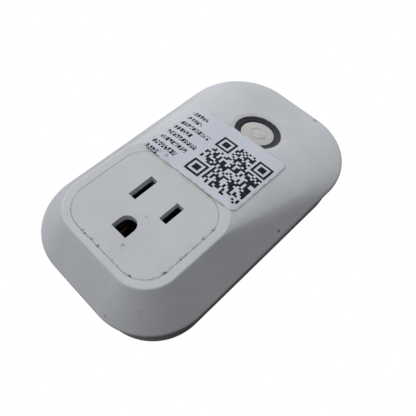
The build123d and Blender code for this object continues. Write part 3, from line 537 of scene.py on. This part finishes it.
def below(tree, value, limit):
    """1 where a value is under a limit, and 0 elsewhere."""
    return calc(tree, "LESS_THAN", value, limit)


def above(tree, value, limit):
    """1 where a value is over a limit, and 0 elsewhere."""
    return calc(tree, "GREATER_THAN", value, limit)


print("label text runs over", ROW_COUNT, "rows; code of", CODE_MODULES, "by", CODE_MODULES, "modules")


# %% Block code and greeked rows
def block_code(tree, x, y):
    """A square of random modules with a finder square in three of its corners."""
    half = CODE_MODULES * MODULE / 2
    across, along = calc(tree, "ADD", x, half), calc(tree, "ADD", y, half)
    ink = above(tree, random_cells(tree, across, along, MODULE, MODULE, CODE_SEED), CODE_BLANK)
    ink = calc(tree, "MULTIPLY", ink, below(tree, square_distance(tree, x, y, (0.0, 0.0)), half))
    reach = half - FINDER_HALF * MODULE
    for middle in ((reach, reach), (-reach, reach), (reach, -reach)):
        distance = square_distance(tree, x, y, middle)
        clear = below(tree, distance, FINDER_CLEAR * MODULE)
        rim = calc(tree, "MULTIPLY", below(tree, distance, FINDER_HALF * MODULE),
                   above(tree, distance, FINDER_GAP * MODULE))
        eye = below(tree, distance, FINDER_EYE * MODULE)
        ink = calc(tree, "MULTIPLY", ink, calc(tree, "SUBTRACT", 1.0, clear))
        ink = calc(tree, "ADD", ink, calc(tree, "ADD", rim, eye), clamp=True)
    return ink


def greeked_rows(tree, x, y):
    """Rows of unreadable letter-sized strokes, starting together and ending where they like."""
    from_first = calc(tree, "DIVIDE", calc(tree, "SUBTRACT", x, FIRST_ROW - ROW_PITCH / 2), ROW_PITCH)
    row = calc(tree, "FLOOR", from_first)
    in_row = calc(tree, "ABSOLUTE", calc(tree, "SUBTRACT", calc(tree, "FRACT", from_first), 0.5))
    tall = below(tree, in_row, LETTER_HEIGHT / ROW_PITCH / 2)
    run = calc(tree, "SUBTRACT", TEXT_START, y)
    letter = calc(tree, "DIVIDE", run, LETTER_WIDTH)
    in_letter = calc(tree, "ABSOLUTE", calc(tree, "SUBTRACT", calc(tree, "FRACT", letter), 0.5))
    wide = below(tree, in_letter, LETTER_FILL)
    begun = above(tree, run, 0.0)
    strokes = above(tree, random_cells(tree, x, run, LETTER_HEIGHT / STROKES_PER_LETTER,
                                       LETTER_WIDTH / STROKES_PER_LETTER, TEXT_SEED), TEXT_BLANK)
    down_label = calc(tree, "DIVIDE", calc(tree, "ADD", row, 0.5), float(ROW_COUNT))
    lengths = add(tree, "ValToRGB", {0: down_label})
    lengths.color_ramp.interpolation = "CONSTANT"
    stops = lengths.color_ramp.elements
    stops.remove(stops[1])
    for number, letters in enumerate(ROW_LETTERS):
        stop = stops[0] if number == 0 else stops.new(number / ROW_COUNT)
        share = letters / MOST_LETTERS
        stop.color = (share, share, share, 1.0)
    ended = below(tree, letter, calc(tree, "MULTIPLY", lengths.outputs[0], MOST_LETTERS))
    for part in (wide, begun, strokes, ended, below(tree, row, float(ROW_COUNT)), above(tree, row, -0.5)):
        tall = calc(tree, "MULTIPLY", tall, part)
    return tall


print("rows of", ROW_LETTERS, "letters")

# %% Printed label finish
RUB_DEPTH = 0.15
RIM_DIRT = 0.8 * MM
SMEAR_X, SMEAR_Y, SMEAR_HALF_WIDTH = -12.6 * MM, 11.0 * MM, 1.7 * MM
SMEAR_FROM, SMEAR_TO = 4.2 * MM, 1.0 * MM
SMEAR_TONE = (0.36, 0.36, 0.42)
LABEL_SPECKS = {"Scale": 300.0, "Size": 0.10, "Share": 0.06}
label_paper, tree, shader, vector = new_finish("printed_label", Specular_IOR_Level=0.16)
on_label = place(tree, vector, LABEL_MIDDLE, (0.0, 0.0, LABEL_TURN))
x, y, z = split(tree, on_label)
on_code = split(tree, place(tree, on_label, CODE_MIDDLE))
ink = calc(tree, "ADD", block_code(tree, on_code[0], on_code[1]), greeked_rows(tree, x, y), clamp=True)
rubbed = ramp(tree, noise(tree, vector, 900.0, 4.0, 0.7), 0.30, 0.42)
rubbed = calc(tree, "ADD", calc(tree, "MULTIPLY", rubbed, RUB_DEPTH), 1.0 - RUB_DEPTH)
ink = calc(tree, "MULTIPLY", ink, rubbed)
paper = mix(tree, noise(tree, vector, 130.0, 4.0), PAPER, PAPER_SHADE)
rim = calc(tree, "ABSOLUTE", outline(tree, on_label, LABEL_SIZE))
paper = mix(tree, patchy(tree, vector, ramp(tree, rim, RIM_DIRT, 0.0), 420.0, 0.35, 0.8), paper, TAN)
smear_x = calc(tree, "ABSOLUTE", calc(tree, "SUBTRACT", x, SMEAR_X))
smear_y = calc(tree, "ABSOLUTE", calc(tree, "SUBTRACT", y, SMEAR_Y))
smudge = calc(tree, "MULTIPLY", ramp(tree, smear_x, SMEAR_HALF_WIDTH, 0.0),
              ramp(tree, smear_y, SMEAR_FROM, SMEAR_TO))
paper = mix(tree, patchy(tree, vector, smudge, 800.0, 0.35, 0.75), paper, SMEAR_TONE)
spots = use(tree, "specks", {"Vector": vector, **LABEL_SPECKS})["Mask"]
paper = mix(tree, calc(tree, "MULTIPLY", spots, 0.6), paper, TAN)
put(tree, shader.inputs["Base Color"], mix(tree, ink, paper, INK))
fibre = noise(tree, vector, 2600.0, 3.0, 0.65)
put(tree, shader.inputs["Roughness"], calc(tree, "ADD", calc(tree, "MULTIPLY", fibre, 0.12), 0.34))
bump(tree, shader, calc(tree, "ADD", fibre, calc(tree, "MULTIPLY", noise(tree, vector, 90.0), 3.0)),
     0.012 * MM)
finishes["label_paper"] = label_paper
print("label:", CODE_MODULES, "modules of", round(MODULE / MM, 2), "mm and", ROW_COUNT, "greeked rows")

# %% [markdown]
# ## Light ring
# The ring is smoked plastic over a white light, so it looks almost black with a blue cast. A thin coat
# gives it a second, sharper reflection. Handling has made its gloss uneven, and dust lies on it.

# %% Smoked ring finish
RING_BASE, RING_AGED = (0.009, 0.011, 0.020, 1.0), (0.020, 0.022, 0.036, 1.0)
RING_DUST = {"Scale": 900.0, "Size": 0.16, "Share": 0.10}
ring_plastic, tree, shader, vector = new_finish(
    "smoked_ring", Specular_IOR_Level=0.32, Coat_Weight=0.08, Coat_Roughness=0.2)
worn = use(tree, "wear", {"Vector": vector, "Base": RING_BASE, "Aged": RING_AGED, "Scale": 500.0,
                          "Roughness": 0.36, "Spread": 0.25})
dust = use(tree, "specks", {"Vector": vector, **RING_DUST})["Mask"]
put(tree, shader.inputs["Base Color"], mix(tree, calc(tree, "MULTIPLY", dust, 0.4), worn["Color"], BEIGE))
put(tree, shader.inputs["Roughness"], worn["Roughness"])
bump(tree, shader, worn["Height"], 0.006 * MM)
finishes["ring_plastic"] = ring_plastic
print("finish", ring_plastic.name)

# %% [markdown]
# ## Metals and inner parts
# The prongs are nickel-plated brass that outlets have scratched, the contacts are bronze gone brown,
# and the parts on the boards are plain mouldings, wires and plated steel. They differ in colour,
# gloss and texture but not in how they are made, so one function makes them all from the wear group.


# %% Worn finishes
def worn_finish(name, base, aged, roughness, scale, spread, depth, **constants):
    """Two tones, an uneven gloss and a fine relief, in a metal or a moulding."""
    material, tree, shader, vector = new_finish(name, **constants)
    sockets = {"Vector": vector, "Base": (*base, 1.0), "Aged": (*aged, 1.0), "Scale": scale,
               "Roughness": roughness, "Spread": spread}
    worn = use(tree, "wear", sockets)
    put(tree, shader.inputs["Base Color"], worn["Color"])
    put(tree, shader.inputs["Roughness"], worn["Roughness"])
    bump(tree, shader, worn["Height"], depth)
    return material


METAL = {"Metallic": 1.0}
GLOSSY = {"Specular_IOR_Level": 0.5, "Coat_Weight": 0.2, "Coat_Roughness": 0.2}
DULL = {"Specular_IOR_Level": 0.35}
# Each row: base colour, aged colour, roughness, patches a metre, spread of the gloss, relief, and kind.
worn_list = {
    "plated_brass": ((0.78, 0.76, 0.71), (0.56, 0.51, 0.42), 0.32, 300.0, 0.3, 0.003 * MM, METAL),
    "contact_brass": ((0.58, 0.30, 0.12), (0.20, 0.10, 0.05), 0.34, 500.0, 0.5, 0.02 * MM, METAL),
    "relay_steel": ((0.50, 0.50, 0.49), (0.33, 0.32, 0.30), 0.38, 350.0, 0.3, 0.01 * MM, METAL),
    "shunt_alloy": ((0.50, 0.41, 0.34), (0.30, 0.22, 0.18), 0.32, 400.0, 0.3, 0.01 * MM, METAL),
    "tinned_steel": ((0.58, 0.59, 0.60), (0.44, 0.45, 0.47), 0.30, 260.0, 0.4, 0.008 * MM, METAL),
    "screw_zinc": ((0.48, 0.48, 0.50), (0.30, 0.29, 0.28), 0.36, 600.0, 0.4, 0.012 * MM, METAL),
    "wire_black": ((0.02, 0.02, 0.02), (0.05, 0.05, 0.05), 0.42, 350.0, 0.2, 0.02 * MM, GLOSSY),
    "wire_white": ((0.66, 0.66, 0.63), (0.54, 0.53, 0.48), 0.42, 350.0, 0.2, 0.02 * MM, GLOSSY),
    "wire_red": ((0.42, 0.03, 0.02), (0.28, 0.02, 0.02), 0.42, 350.0, 0.2, 0.02 * MM, GLOSSY),
    "relay_plastic": ((0.03, 0.08, 0.26), (0.02, 0.05, 0.18), 0.35, 120.0, 0.2, 0.01 * MM, GLOSSY),
    "ferrite": ((0.07, 0.07, 0.075), (0.13, 0.12, 0.115), 0.62, 700.0, 0.3, 0.06 * MM, DULL),
    "fuse_plastic": ((0.07, 0.07, 0.07), (0.11, 0.11, 0.11), 0.5, 200.0, 0.2, 0.02 * MM, DULL),
    "varistor_epoxy": ((0.03, 0.12, 0.38), (0.02, 0.08, 0.27), 0.3, 220.0, 0.2, 0.05 * MM, GLOSSY),
    "chip_plastic": ((0.025, 0.025, 0.028), (0.05, 0.05, 0.052), 0.55, 900.0, 0.2, 0.02 * MM, DULL),
    "led_epoxy": ((0.72, 0.68, 0.48), (0.60, 0.55, 0.36), 0.22, 400.0, 0.2, 0.01 * MM, GLOSSY),
}
for slot_name, (base, aged, roughness, scale, spread, depth, constants) in worn_list.items():
    finishes[slot_name] = worn_finish("worn_" + slot_name, base, aged, roughness, scale, spread, depth,
                                      **constants)
# The line and neutral contacts sit deep in their slots, and their bronze is darkened to near black as painted
# shade.
painted_shade_bronze = worn_finish("painted_shade_bronze", (0.05, 0.035, 0.025), (0.02, 0.014, 0.01), 0.5, 500.0, 0.3,
                          0.02 * MM, **METAL)
print("worn finishes:", len(worn_list) + 1)

# %% [markdown]
# ## Windings, sleeves and boards
# The coil's wire, the transformer's tape and the capacitors' sleeves are banded along one axis, which
# a Wave texture does well. A board is green solder mask over copper: raised traces show as a faint
# lighter grid, which the Brick texture gives with long thin bricks.


# %% Banded finishes
def banded_finish(name, dark, light, pitch, axis, roughness, **constants):
    """Fine bands along one axis, as wound wire, tape or a ribbed sleeve."""
    material, tree, shader, vector = new_finish(name, **constants)
    bands = add(tree, "TexWave", {"Vector": vector, "Scale": pi / 10 / pitch, "Distortion": 0.4,
                                  "Detail Scale": 2.0}, bands_direction=axis).outputs[1]
    put(tree, shader.inputs["Base Color"], mix(tree, bands, dark, light))
    rough = calc(tree, "ADD", calc(tree, "MULTIPLY", noise(tree, vector, 500.0), 0.2), roughness)
    put(tree, shader.inputs["Roughness"], rough)
    bump(tree, shader, bands, 0.05 * MM)
    return material


COIL_PITCH, TAPE_PITCH, SLEEVE_PITCH = 0.22 * MM, 2.2 * MM, 4.0 * MM
finishes["coil_copper"] = banded_finish("enamelled_coil", (0.20, 0.06, 0.02), (0.62, 0.24, 0.09),
                                        COIL_PITCH, "Z", 0.2, **METAL)
finishes["winding_tape"] = banded_finish("winding_tape", (0.42, 0.30, 0.03), (0.70, 0.54, 0.08),
                                         TAPE_PITCH, "Z", 0.3, Specular_IOR_Level=0.5)
finishes["capacitor_sleeve"] = banded_finish("capacitor_sleeve", (0.02, 0.025, 0.045),
                                             (0.035, 0.04, 0.07), SLEEVE_PITCH, "Z", 0.25, **GLOSSY)
print("bands every", [round(pitch / MM, 2) for pitch in (COIL_PITCH, TAPE_PITCH, SLEEVE_PITCH)], "mm")

# %% Board finish
TRACE_WIDTH, TRACE_LENGTH, TRACE_PITCH = 0.22 * MM, 5.2 * MM, 1.3 * MM
MASK_LIGHT, MASK_DARK, TRACE_TONE = (0.018, 0.15, 0.06), (0.012, 0.11, 0.045), (0.05, 0.30, 0.12)
board_green, tree, shader, vector = new_finish("board_green", Specular_IOR_Level=0.5)
traces = add(tree, "TexBrick", {"Vector": vector, "Scale": 1.0, "Mortar Size": TRACE_WIDTH,
                                "Mortar Smooth": 0.2, "Brick Width": TRACE_LENGTH,
                                "Row Height": TRACE_PITCH})
track = traces.outputs["Fac"]
mask = mix(tree, noise(tree, vector, 160.0, 3.0), MASK_DARK, MASK_LIGHT)
put(tree, shader.inputs["Base Color"], mix(tree, calc(tree, "MULTIPLY", track, 0.6), mask, TRACE_TONE))
uneven = calc(tree, "MULTIPLY", noise(tree, vector, 700.0), 0.15)
put(tree, shader.inputs["Roughness"], calc(tree, "ADD", uneven, 0.25))
bump(tree, shader, track, 0.03 * MM)
finishes["board_green"] = board_green
print("board traces every", round(TRACE_PITCH / MM, 2), "mm")

# %% [markdown]
# ## Dress the CAD nodes
# The frame's record names a material slot for every node. The tray and the two contacts deep in the
# slots share their slots with parts that look different, so they are named here with a finish of their
# own. The tray's finish has grime and painted shade under its seam. The contacts get a near-black bronze,
# which is painted shade for the dark inside of the slots.

# %% Dress the nodes
own_finish = {"rear_housing": rear_plastic, "line_contact": painted_shade_bronze, "neutral_contact": painted_shade_bronze}
slot_of = {part["node"]: part["material_slot"] for part in frame["record"]["subparts"]}
for name, cad_node in nodes.items():
    cad_node.data.materials.clear()
    cad_node.data.materials.append(own_finish.get(name, finishes[slot_of[name]]))
print("dressed", len(nodes), "nodes in", len(finishes), "finishes")

# %% [markdown]
# ## Modelling helpers
# The fine pieces are modelled with the operators that Blender's own menus call. An operator works on
# whatever is selected, so every piece starts with nothing selected, and faces or edges are picked in
# code by where they are. A finished piece has its place in its mesh and its object at the origin.

# %% Helpers for modelling
def pick(piece):
    """Makes a piece the only selected object, and the active one."""
    bpy.ops.object.select_all(action="DESELECT")
    bpy.context.view_layer.objects.active = piece
    piece.select_set(True)


def edit(piece):
    """Opens a piece in edit mode with nothing selected and returns its mesh in bmesh form."""
    pick(piece)
    bpy.ops.object.mode_set(mode="EDIT")
    bpy.ops.mesh.select_mode(type="EDGE")
    bpy.ops.mesh.select_all(action="DESELECT")
    return bmesh.from_edit_mesh(piece.data)


def close_edit(piece):
    """Leaves edit mode and returns the piece."""
    bpy.ops.object.mode_set(mode="OBJECT")
    return piece


def fresh(name):
    """Names the object that an operator has just added, and applies its size and place."""
    piece = bpy.context.object
    piece.name = piece.data.name = name
    bpy.ops.object.transform_apply(location=True, rotation=True, scale=True)
    return piece


def block(name, middle, size):
    """A box at its place, as a start for a piece or as a cutter."""
    bpy.ops.object.select_all(action="DESELECT")
    bpy.ops.mesh.primitive_cube_add(size=1.0, location=middle, scale=size)
    return fresh(name)


def modify(piece, kind, **settings):
    """Adds one modifier, sets it and applies it."""
    pick(piece)
    modifier = piece.modifiers.new(kind.lower(), kind)
    for label, value in settings.items():
        setattr(modifier, label, value)
    bpy.ops.object.modifier_apply(modifier=modifier.name)


def cut(piece, cutter):
    """Takes a cutter out of a piece and throws the cutter away."""
    modify(piece, "BOOLEAN", operation="DIFFERENCE", solver="EXACT", object=cutter)
    bpy.data.objects.remove(cutter)


def finish_piece(piece, slot_name, body, angle, *replaced):
    """Smooth shading up to an angle, then its finish, its slot, its body and the nodes it stands for."""
    pick(piece)
    bpy.ops.object.shade_smooth_by_angle(angle=radians(angle))
    piece.data.materials.clear()
    piece.data.materials.append(finishes[slot_name])
    piece.data.polygons.foreach_set("material_index", [0] * len(piece.data.polygons))
    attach(piece, body)
    if replaced:
        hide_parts(*replaced)
    print(piece.name, "has", len(piece.data.polygons), "faces and rides on", body)


print("modelling helpers: pick, edit, close_edit, fresh, block, modify, cut, finish_piece")

# %% [markdown]
# ## Front shell
# The CAD cover's walls are ruled surfaces, so the wall near us turns into the long slope along a rather
# tight line. On the real moulding that turn is soft, several millimetres wide. The shell is a copy of
# the cover whose outer walls are cut into a fine grid and then relaxed with a Smooth modifier. The CAD
# mesh is loose triangles with normals of their own, so the copy is merged first, and those normals are
# cleared, because they no longer fit once the walls are cut.

# %% Find the outer walls
LIP_Z = SEAM_Z + 1.1 * MM
HOLD_DISH, HOLD_RIM = 10.6 * MM, 0.9 * MM
DISH_RADIUS, DISH_MARGIN = 10.0 * MM, 0.2 * MM
LIP_MARGIN, SAME_SIDE = 0.4 * MM, 12.0 * MM
LEAST_UP = 0.1
to_button = button_frame.inverted()


def is_outer(face):
    """True on the sloping outer walls, away from the inside, the recess, the dish and the pad."""
    middle = face.calc_center_median()
    if face.normal.z < LEAST_UP or not LIP_Z + LIP_MARGIN < middle.z < PAD_Z - HOLD_RIM:
        return False
    from_plate = middle - plate_middle
    over_plate = abs(from_plate.x) < PLATE_SIZE[0] / 2 + MM and abs(from_plate.y) < PLATE_SIZE[1] / 2 + MM
    local = to_button @ middle
    past_dish = hypot(local.x, local.y) > DISH_RADIUS + DISH_MARGIN
    return not over_plate and past_dish and abs(local.z) < SAME_SIDE


MERGE = 0.002 * MM
front_shell = bpy.data.objects.new("front_shell", nodes["front_cover"].data.copy())
bpy.context.scene.collection.objects.link(front_shell)
front_shell.data.materials.append(finishes["plate_plastic"])
edit(front_shell)
bpy.ops.mesh.select_all(action="SELECT")
bpy.ops.mesh.remove_doubles(threshold=MERGE)
bpy.ops.mesh.customdata_custom_splitnormals_clear()
form = bmesh.from_edit_mesh(front_shell.data)
for face in form.faces:
    face.material_index = int(is_outer(face))
bmesh.update_edit_mesh(front_shell.data)
print(sum(face.material_index for face in form.faces), "of", len(form.faces), "faces are outer walls")

# %% [markdown]
# The outer faces now use a second material slot, which is only a way to select them again: each bisect
# cuts what is selected, and the new faces keep the slot of the face that they were cut from. One cut
# every 1.5 mm along X and then along Y gives the grid.

# %% Cut the outer walls into a grid
GRID = 1.5 * MM
front_shell.active_material_index = 1
bpy.ops.mesh.select_mode(type="FACE")
for axis in (0, 1):
    count = int((cover_high[axis] - cover_low[axis]) / GRID)
    for step in range(1, count + 1):
        point, normal = [0.0, 0.0, 0.0], [0.0, 0.0, 0.0]
        point[axis], normal[axis] = cover_low[axis] + step * GRID, 1.0
        bpy.ops.mesh.select_all(action="DESELECT")
        bpy.ops.object.material_slot_select()
        bpy.ops.mesh.bisect(plane_co=point, plane_no=normal)
close_edit(front_shell)
print("front_shell now has", len(front_shell.data.polygons), "faces")

# %% [markdown]
# A vertex group says how far each point may follow the Smooth modifier: not at all at the lip, the pad's
# rim and the dish, and fully 2.5 mm away from them. Flat areas stay flat by themselves. The shallow dish
# keeps a crisp edge, so its rim is marked sharp before the shell is shaded smooth. Weighted normals then
# let the large flat faces decide the shading, so that small ones beside them don't darken it.

# %% Relax the walls
SOFT_REACH = 2.5 * MM
RELAX_STEPS = 320
RIM_MARGIN = 0.06 * MM
soft = front_shell.vertex_groups.new(name="soft")
outer_only = {v for face in front_shell.data.polygons if face.material_index == 1 for v in face.vertices}
outer_only -= {v for face in front_shell.data.polygons if face.material_index == 0 for v in face.vertices}
for index in sorted(outer_only):
    spot = front_shell.data.vertices[index].co
    local = to_button @ spot
    room = min(spot.z - LIP_Z, PAD_Z - HOLD_RIM - spot.z, hypot(local.x, local.y) - HOLD_DISH)
    soft.add([index], max(0.0, min(1.0, room / SOFT_REACH)), "REPLACE")
modify(front_shell, "SMOOTH", factor=0.5, iterations=RELAX_STEPS, vertex_group="soft")
front_shell.vertex_groups.clear()

form = edit(front_shell)
for edge in form.edges:
    ends = [to_button @ vert.co for vert in edge.verts]
    if all(abs(hypot(end.x, end.y) - DISH_RADIUS) < RIM_MARGIN and abs(end.z) < RIM_MARGIN for end in ends):
        edge.smooth = False
bmesh.update_edit_mesh(front_shell.data)
close_edit(front_shell)
finish_piece(front_shell, "cover_plastic", "housing", 40.0, "front_cover")
modify(front_shell, "WEIGHTED_NORMAL", keep_sharp=True)

# %% [markdown]
# ## Outlet plate
# The plate is a rounded square, 34 by 38 mm, with a longer neutral slot, a shorter line slot and a
# round ground hole with one flat side. On the real one every edge has a small moulded radius that
# catches the light. A box with its four upright edges bevelled gives the outline, booleans cut the
# slots right through, and a Bevel modifier rounds every sharp edge at once. The plate is made a trifle
# fuller than its node, because the groove round it is only a fine line.

# %% Outline of the outlet plate
SLOT_APART, GROUND_BACK, SLOT_WIDTH = 12.7 * MM, 11.9 * MM, 2.9 * MM
NEUTRAL_LENGTH, LINE_LENGTH = 9.2 * MM, 7.4 * MM
GROUND_WIDTH = 6.2 * MM
PLATE_GROWTH = 0.07 * MM
CORNER_STEPS = 20
UPRIGHT = 0.01 * MM
plate_depth = plate_high.z - plate_low.z
fuller = Vector((2 * PLATE_GROWTH, 2 * PLATE_GROWTH, 0))
outlet_face = block("outlet_face", plate_middle, plate_high - plate_low + fuller)
form = edit(outlet_face)
for edge in form.edges:
    ends = [v.co for v in edge.verts]
    edge.select = abs(ends[0].x - ends[1].x) + abs(ends[0].y - ends[1].y) < UPRIGHT
bmesh.update_edit_mesh(outlet_face.data)
bpy.ops.mesh.bevel(offset=PLATE_SIZE[2], segments=CORNER_STEPS, affect="EDGES")
close_edit(outlet_face)
print("plate outline", [round(side / MM, 2) for side in outlet_face.dimensions], "mm")

# %% Slots, ground hole and edges of the outlet plate
EDGE_RADIUS, EDGE_STEPS, SHARP_EDGE = 0.12 * MM, 3, radians(40)
HOLE_STEPS = 64
for side, length in ((1, NEUTRAL_LENGTH), (-1, LINE_LENGTH)):
    cut(outlet_face, block("slot_cutter", (0, side * SLOT_APART / 2, plate_middle.z),
                           (length, SLOT_WIDTH, 2 * plate_depth)))
bpy.ops.object.select_all(action="DESELECT")
bpy.ops.mesh.primitive_cylinder_add(vertices=HOLE_STEPS, radius=GROUND_WIDTH / 2,
                                    depth=2 * plate_depth, location=(-GROUND_BACK, 0, plate_middle.z))
cut(outlet_face, fresh("ground_cutter"))
cut(outlet_face, block("flat_cutter", (-GROUND_BACK - GROUND_WIDTH / 4, 0, plate_middle.z),
                       (GROUND_WIDTH / 2, GROUND_WIDTH, 2 * plate_depth)))
modify(outlet_face, "BEVEL", width=EDGE_RADIUS, segments=EDGE_STEPS, limit_method="ANGLE",
       angle_limit=SHARP_EDGE, use_clamp_overlap=True)
finish_piece(outlet_face, "plate_plastic", "housing", 30.0, "outlet_plate")
modify(outlet_face, "WEIGHTED_NORMAL", keep_sharp=True)

# %% [markdown]
# ## Light ring
# The ring slopes down to the button and has a low bead near its inner edge, which draws a thin pale
# line along it. A turned part like this grows from one circle: extrude it, scale it to the next
# radius, move it to the next height, and bridge the last loop back to the first.

# %% Turned parts
TURN_STEPS = 128


def turned(name, profile):
    """A ring with that closed profile of (radius, height) points, turned about Z."""
    bpy.ops.object.select_all(action="DESELECT")
    radius, height = profile[0]
    bpy.ops.mesh.primitive_circle_add(vertices=TURN_STEPS, radius=radius, location=(0, 0, height))
    piece = fresh(name)
    edit(piece)
    bpy.ops.mesh.select_all(action="SELECT")
    for next_radius, next_height in profile[1:]:
        bpy.ops.mesh.extrude_region_move()
        ratio = next_radius / radius
        bpy.ops.transform.resize(value=(ratio, ratio, 1.0), center_override=(0, 0, height))
        bpy.ops.transform.translate(value=(0, 0, next_height - height))
        radius, height = next_radius, next_height
    form = bmesh.from_edit_mesh(piece.data)
    for edge in form.edges:
        edge.select = edge.is_boundary
    bmesh.update_edit_mesh(piece.data)
    bpy.ops.mesh.bridge_edge_loops()
    bpy.ops.mesh.select_all(action="SELECT")
    bpy.ops.mesh.normals_make_consistent(inside=False)
    return close_edit(piece)


print("turned parts have", TURN_STEPS, "steps round")

# %% Light ring
ring_profile = [(radius * MM, height * MM) for radius, height in (
    (6.15, -3.47), (6.15, -1.30), (6.20, -1.18), (6.34, -1.12), (6.58, -1.08), (6.70, -0.90),
    (6.86, -0.78), (7.06, -0.76), (7.25, -0.80), (7.70, -0.62), (8.10, -0.46), (8.30, -0.42),
    (8.42, -0.46), (8.45, -0.58), (8.45, -2.37), (9.70, -2.37), (9.70, -3.47))]
ring_lens = turned("ring_lens", ring_profile)
ring_lens.data.transform(button_frame)
finish_piece(ring_lens, "ring_plastic", "housing", 40.0, "button_ring")

# %% [markdown]
# ## Mark on the button
# The button carries a plain power mark, an open circle and a bar, raised by about a tenth of a
# millimetre in the same cream plastic. The circle is a small flat profile spun most of the way round.
# It rides on the button, so it goes in when the button is pressed.

# %% Shapes for the power mark
BUTTON_RADIUS, BUTTON_SINK, BUTTON_CROWN = 6.0 * MM, 0.95 * MM, 0.35 * MM
MARK_RADIUS, MARK_WIDTH, MARK_HEIGHT, MARK_ROOT = 2.7 * MM, 0.5 * MM, 0.14 * MM, 0.1 * MM
BAR_MIDDLE, BAR_LENGTH = -2.1 * MM, 2.6 * MM
MARK_EDGE, MARK_EDGE_STEPS = 0.06 * MM, 2
OPEN_ANGLE = radians(64)
ARC_STEPS = 72
WELD = 0.001 * MM


def crown_height(radius):
    """The height of the button's crowned top at that radius, in the button's own frame."""
    return BUTTON_CROWN * (1 - (radius / BUTTON_RADIUS) ** 2) - BUTTON_SINK


def spun_arc(name, radius, width, low, high, angle):
    """A bar of that section, spun through an angle about Z."""
    bpy.ops.object.select_all(action="DESELECT")
    bpy.ops.mesh.primitive_plane_add(size=1.0, location=(radius, 0, (low + high) / 2),
                                     rotation=(pi / 2, 0, 0))
    bpy.context.object.scale = (width, high - low, 1.0)
    piece = fresh(name)
    edit(piece)
    bpy.ops.mesh.select_all(action="SELECT")
    bpy.ops.mesh.spin(steps=ARC_STEPS, angle=angle, center=(0, 0, 0), axis=(0, 0, 1))
    bpy.ops.mesh.select_all(action="SELECT")
    bpy.ops.mesh.remove_doubles(threshold=WELD)
    bpy.ops.mesh.normals_make_consistent(inside=False)
    return close_edit(piece)


print("the crown stands", round(crown_height(0.0) / MM, 2), "mm from the slope at its middle")

# %% Power mark
circle_low = crown_height(MARK_RADIUS) - MARK_ROOT
circle_mark = spun_arc("circle_mark", MARK_RADIUS, MARK_WIDTH, circle_low,
                       circle_low + MARK_ROOT + MARK_HEIGHT, 2 * pi - OPEN_ANGLE)
circle_mark.data.transform(Matrix.Rotation(-pi / 2 + OPEN_ANGLE / 2, 4, "Z"))
bar_low = crown_height(MARK_RADIUS / 2) - MARK_ROOT
bar_mark = block("bar_mark", (0, BAR_MIDDLE, bar_low + (MARK_ROOT + MARK_HEIGHT) / 2),
                 (MARK_WIDTH, BAR_LENGTH, MARK_ROOT + MARK_HEIGHT))
for mark in (circle_mark, bar_mark):
    modify(mark, "BEVEL", width=MARK_EDGE, segments=MARK_EDGE_STEPS, limit_method="ANGLE",
           angle_limit=SHARP_EDGE)
    mark.data.transform(button_frame)
    finish_piece(mark, "button_plastic", "power_button", 40.0)
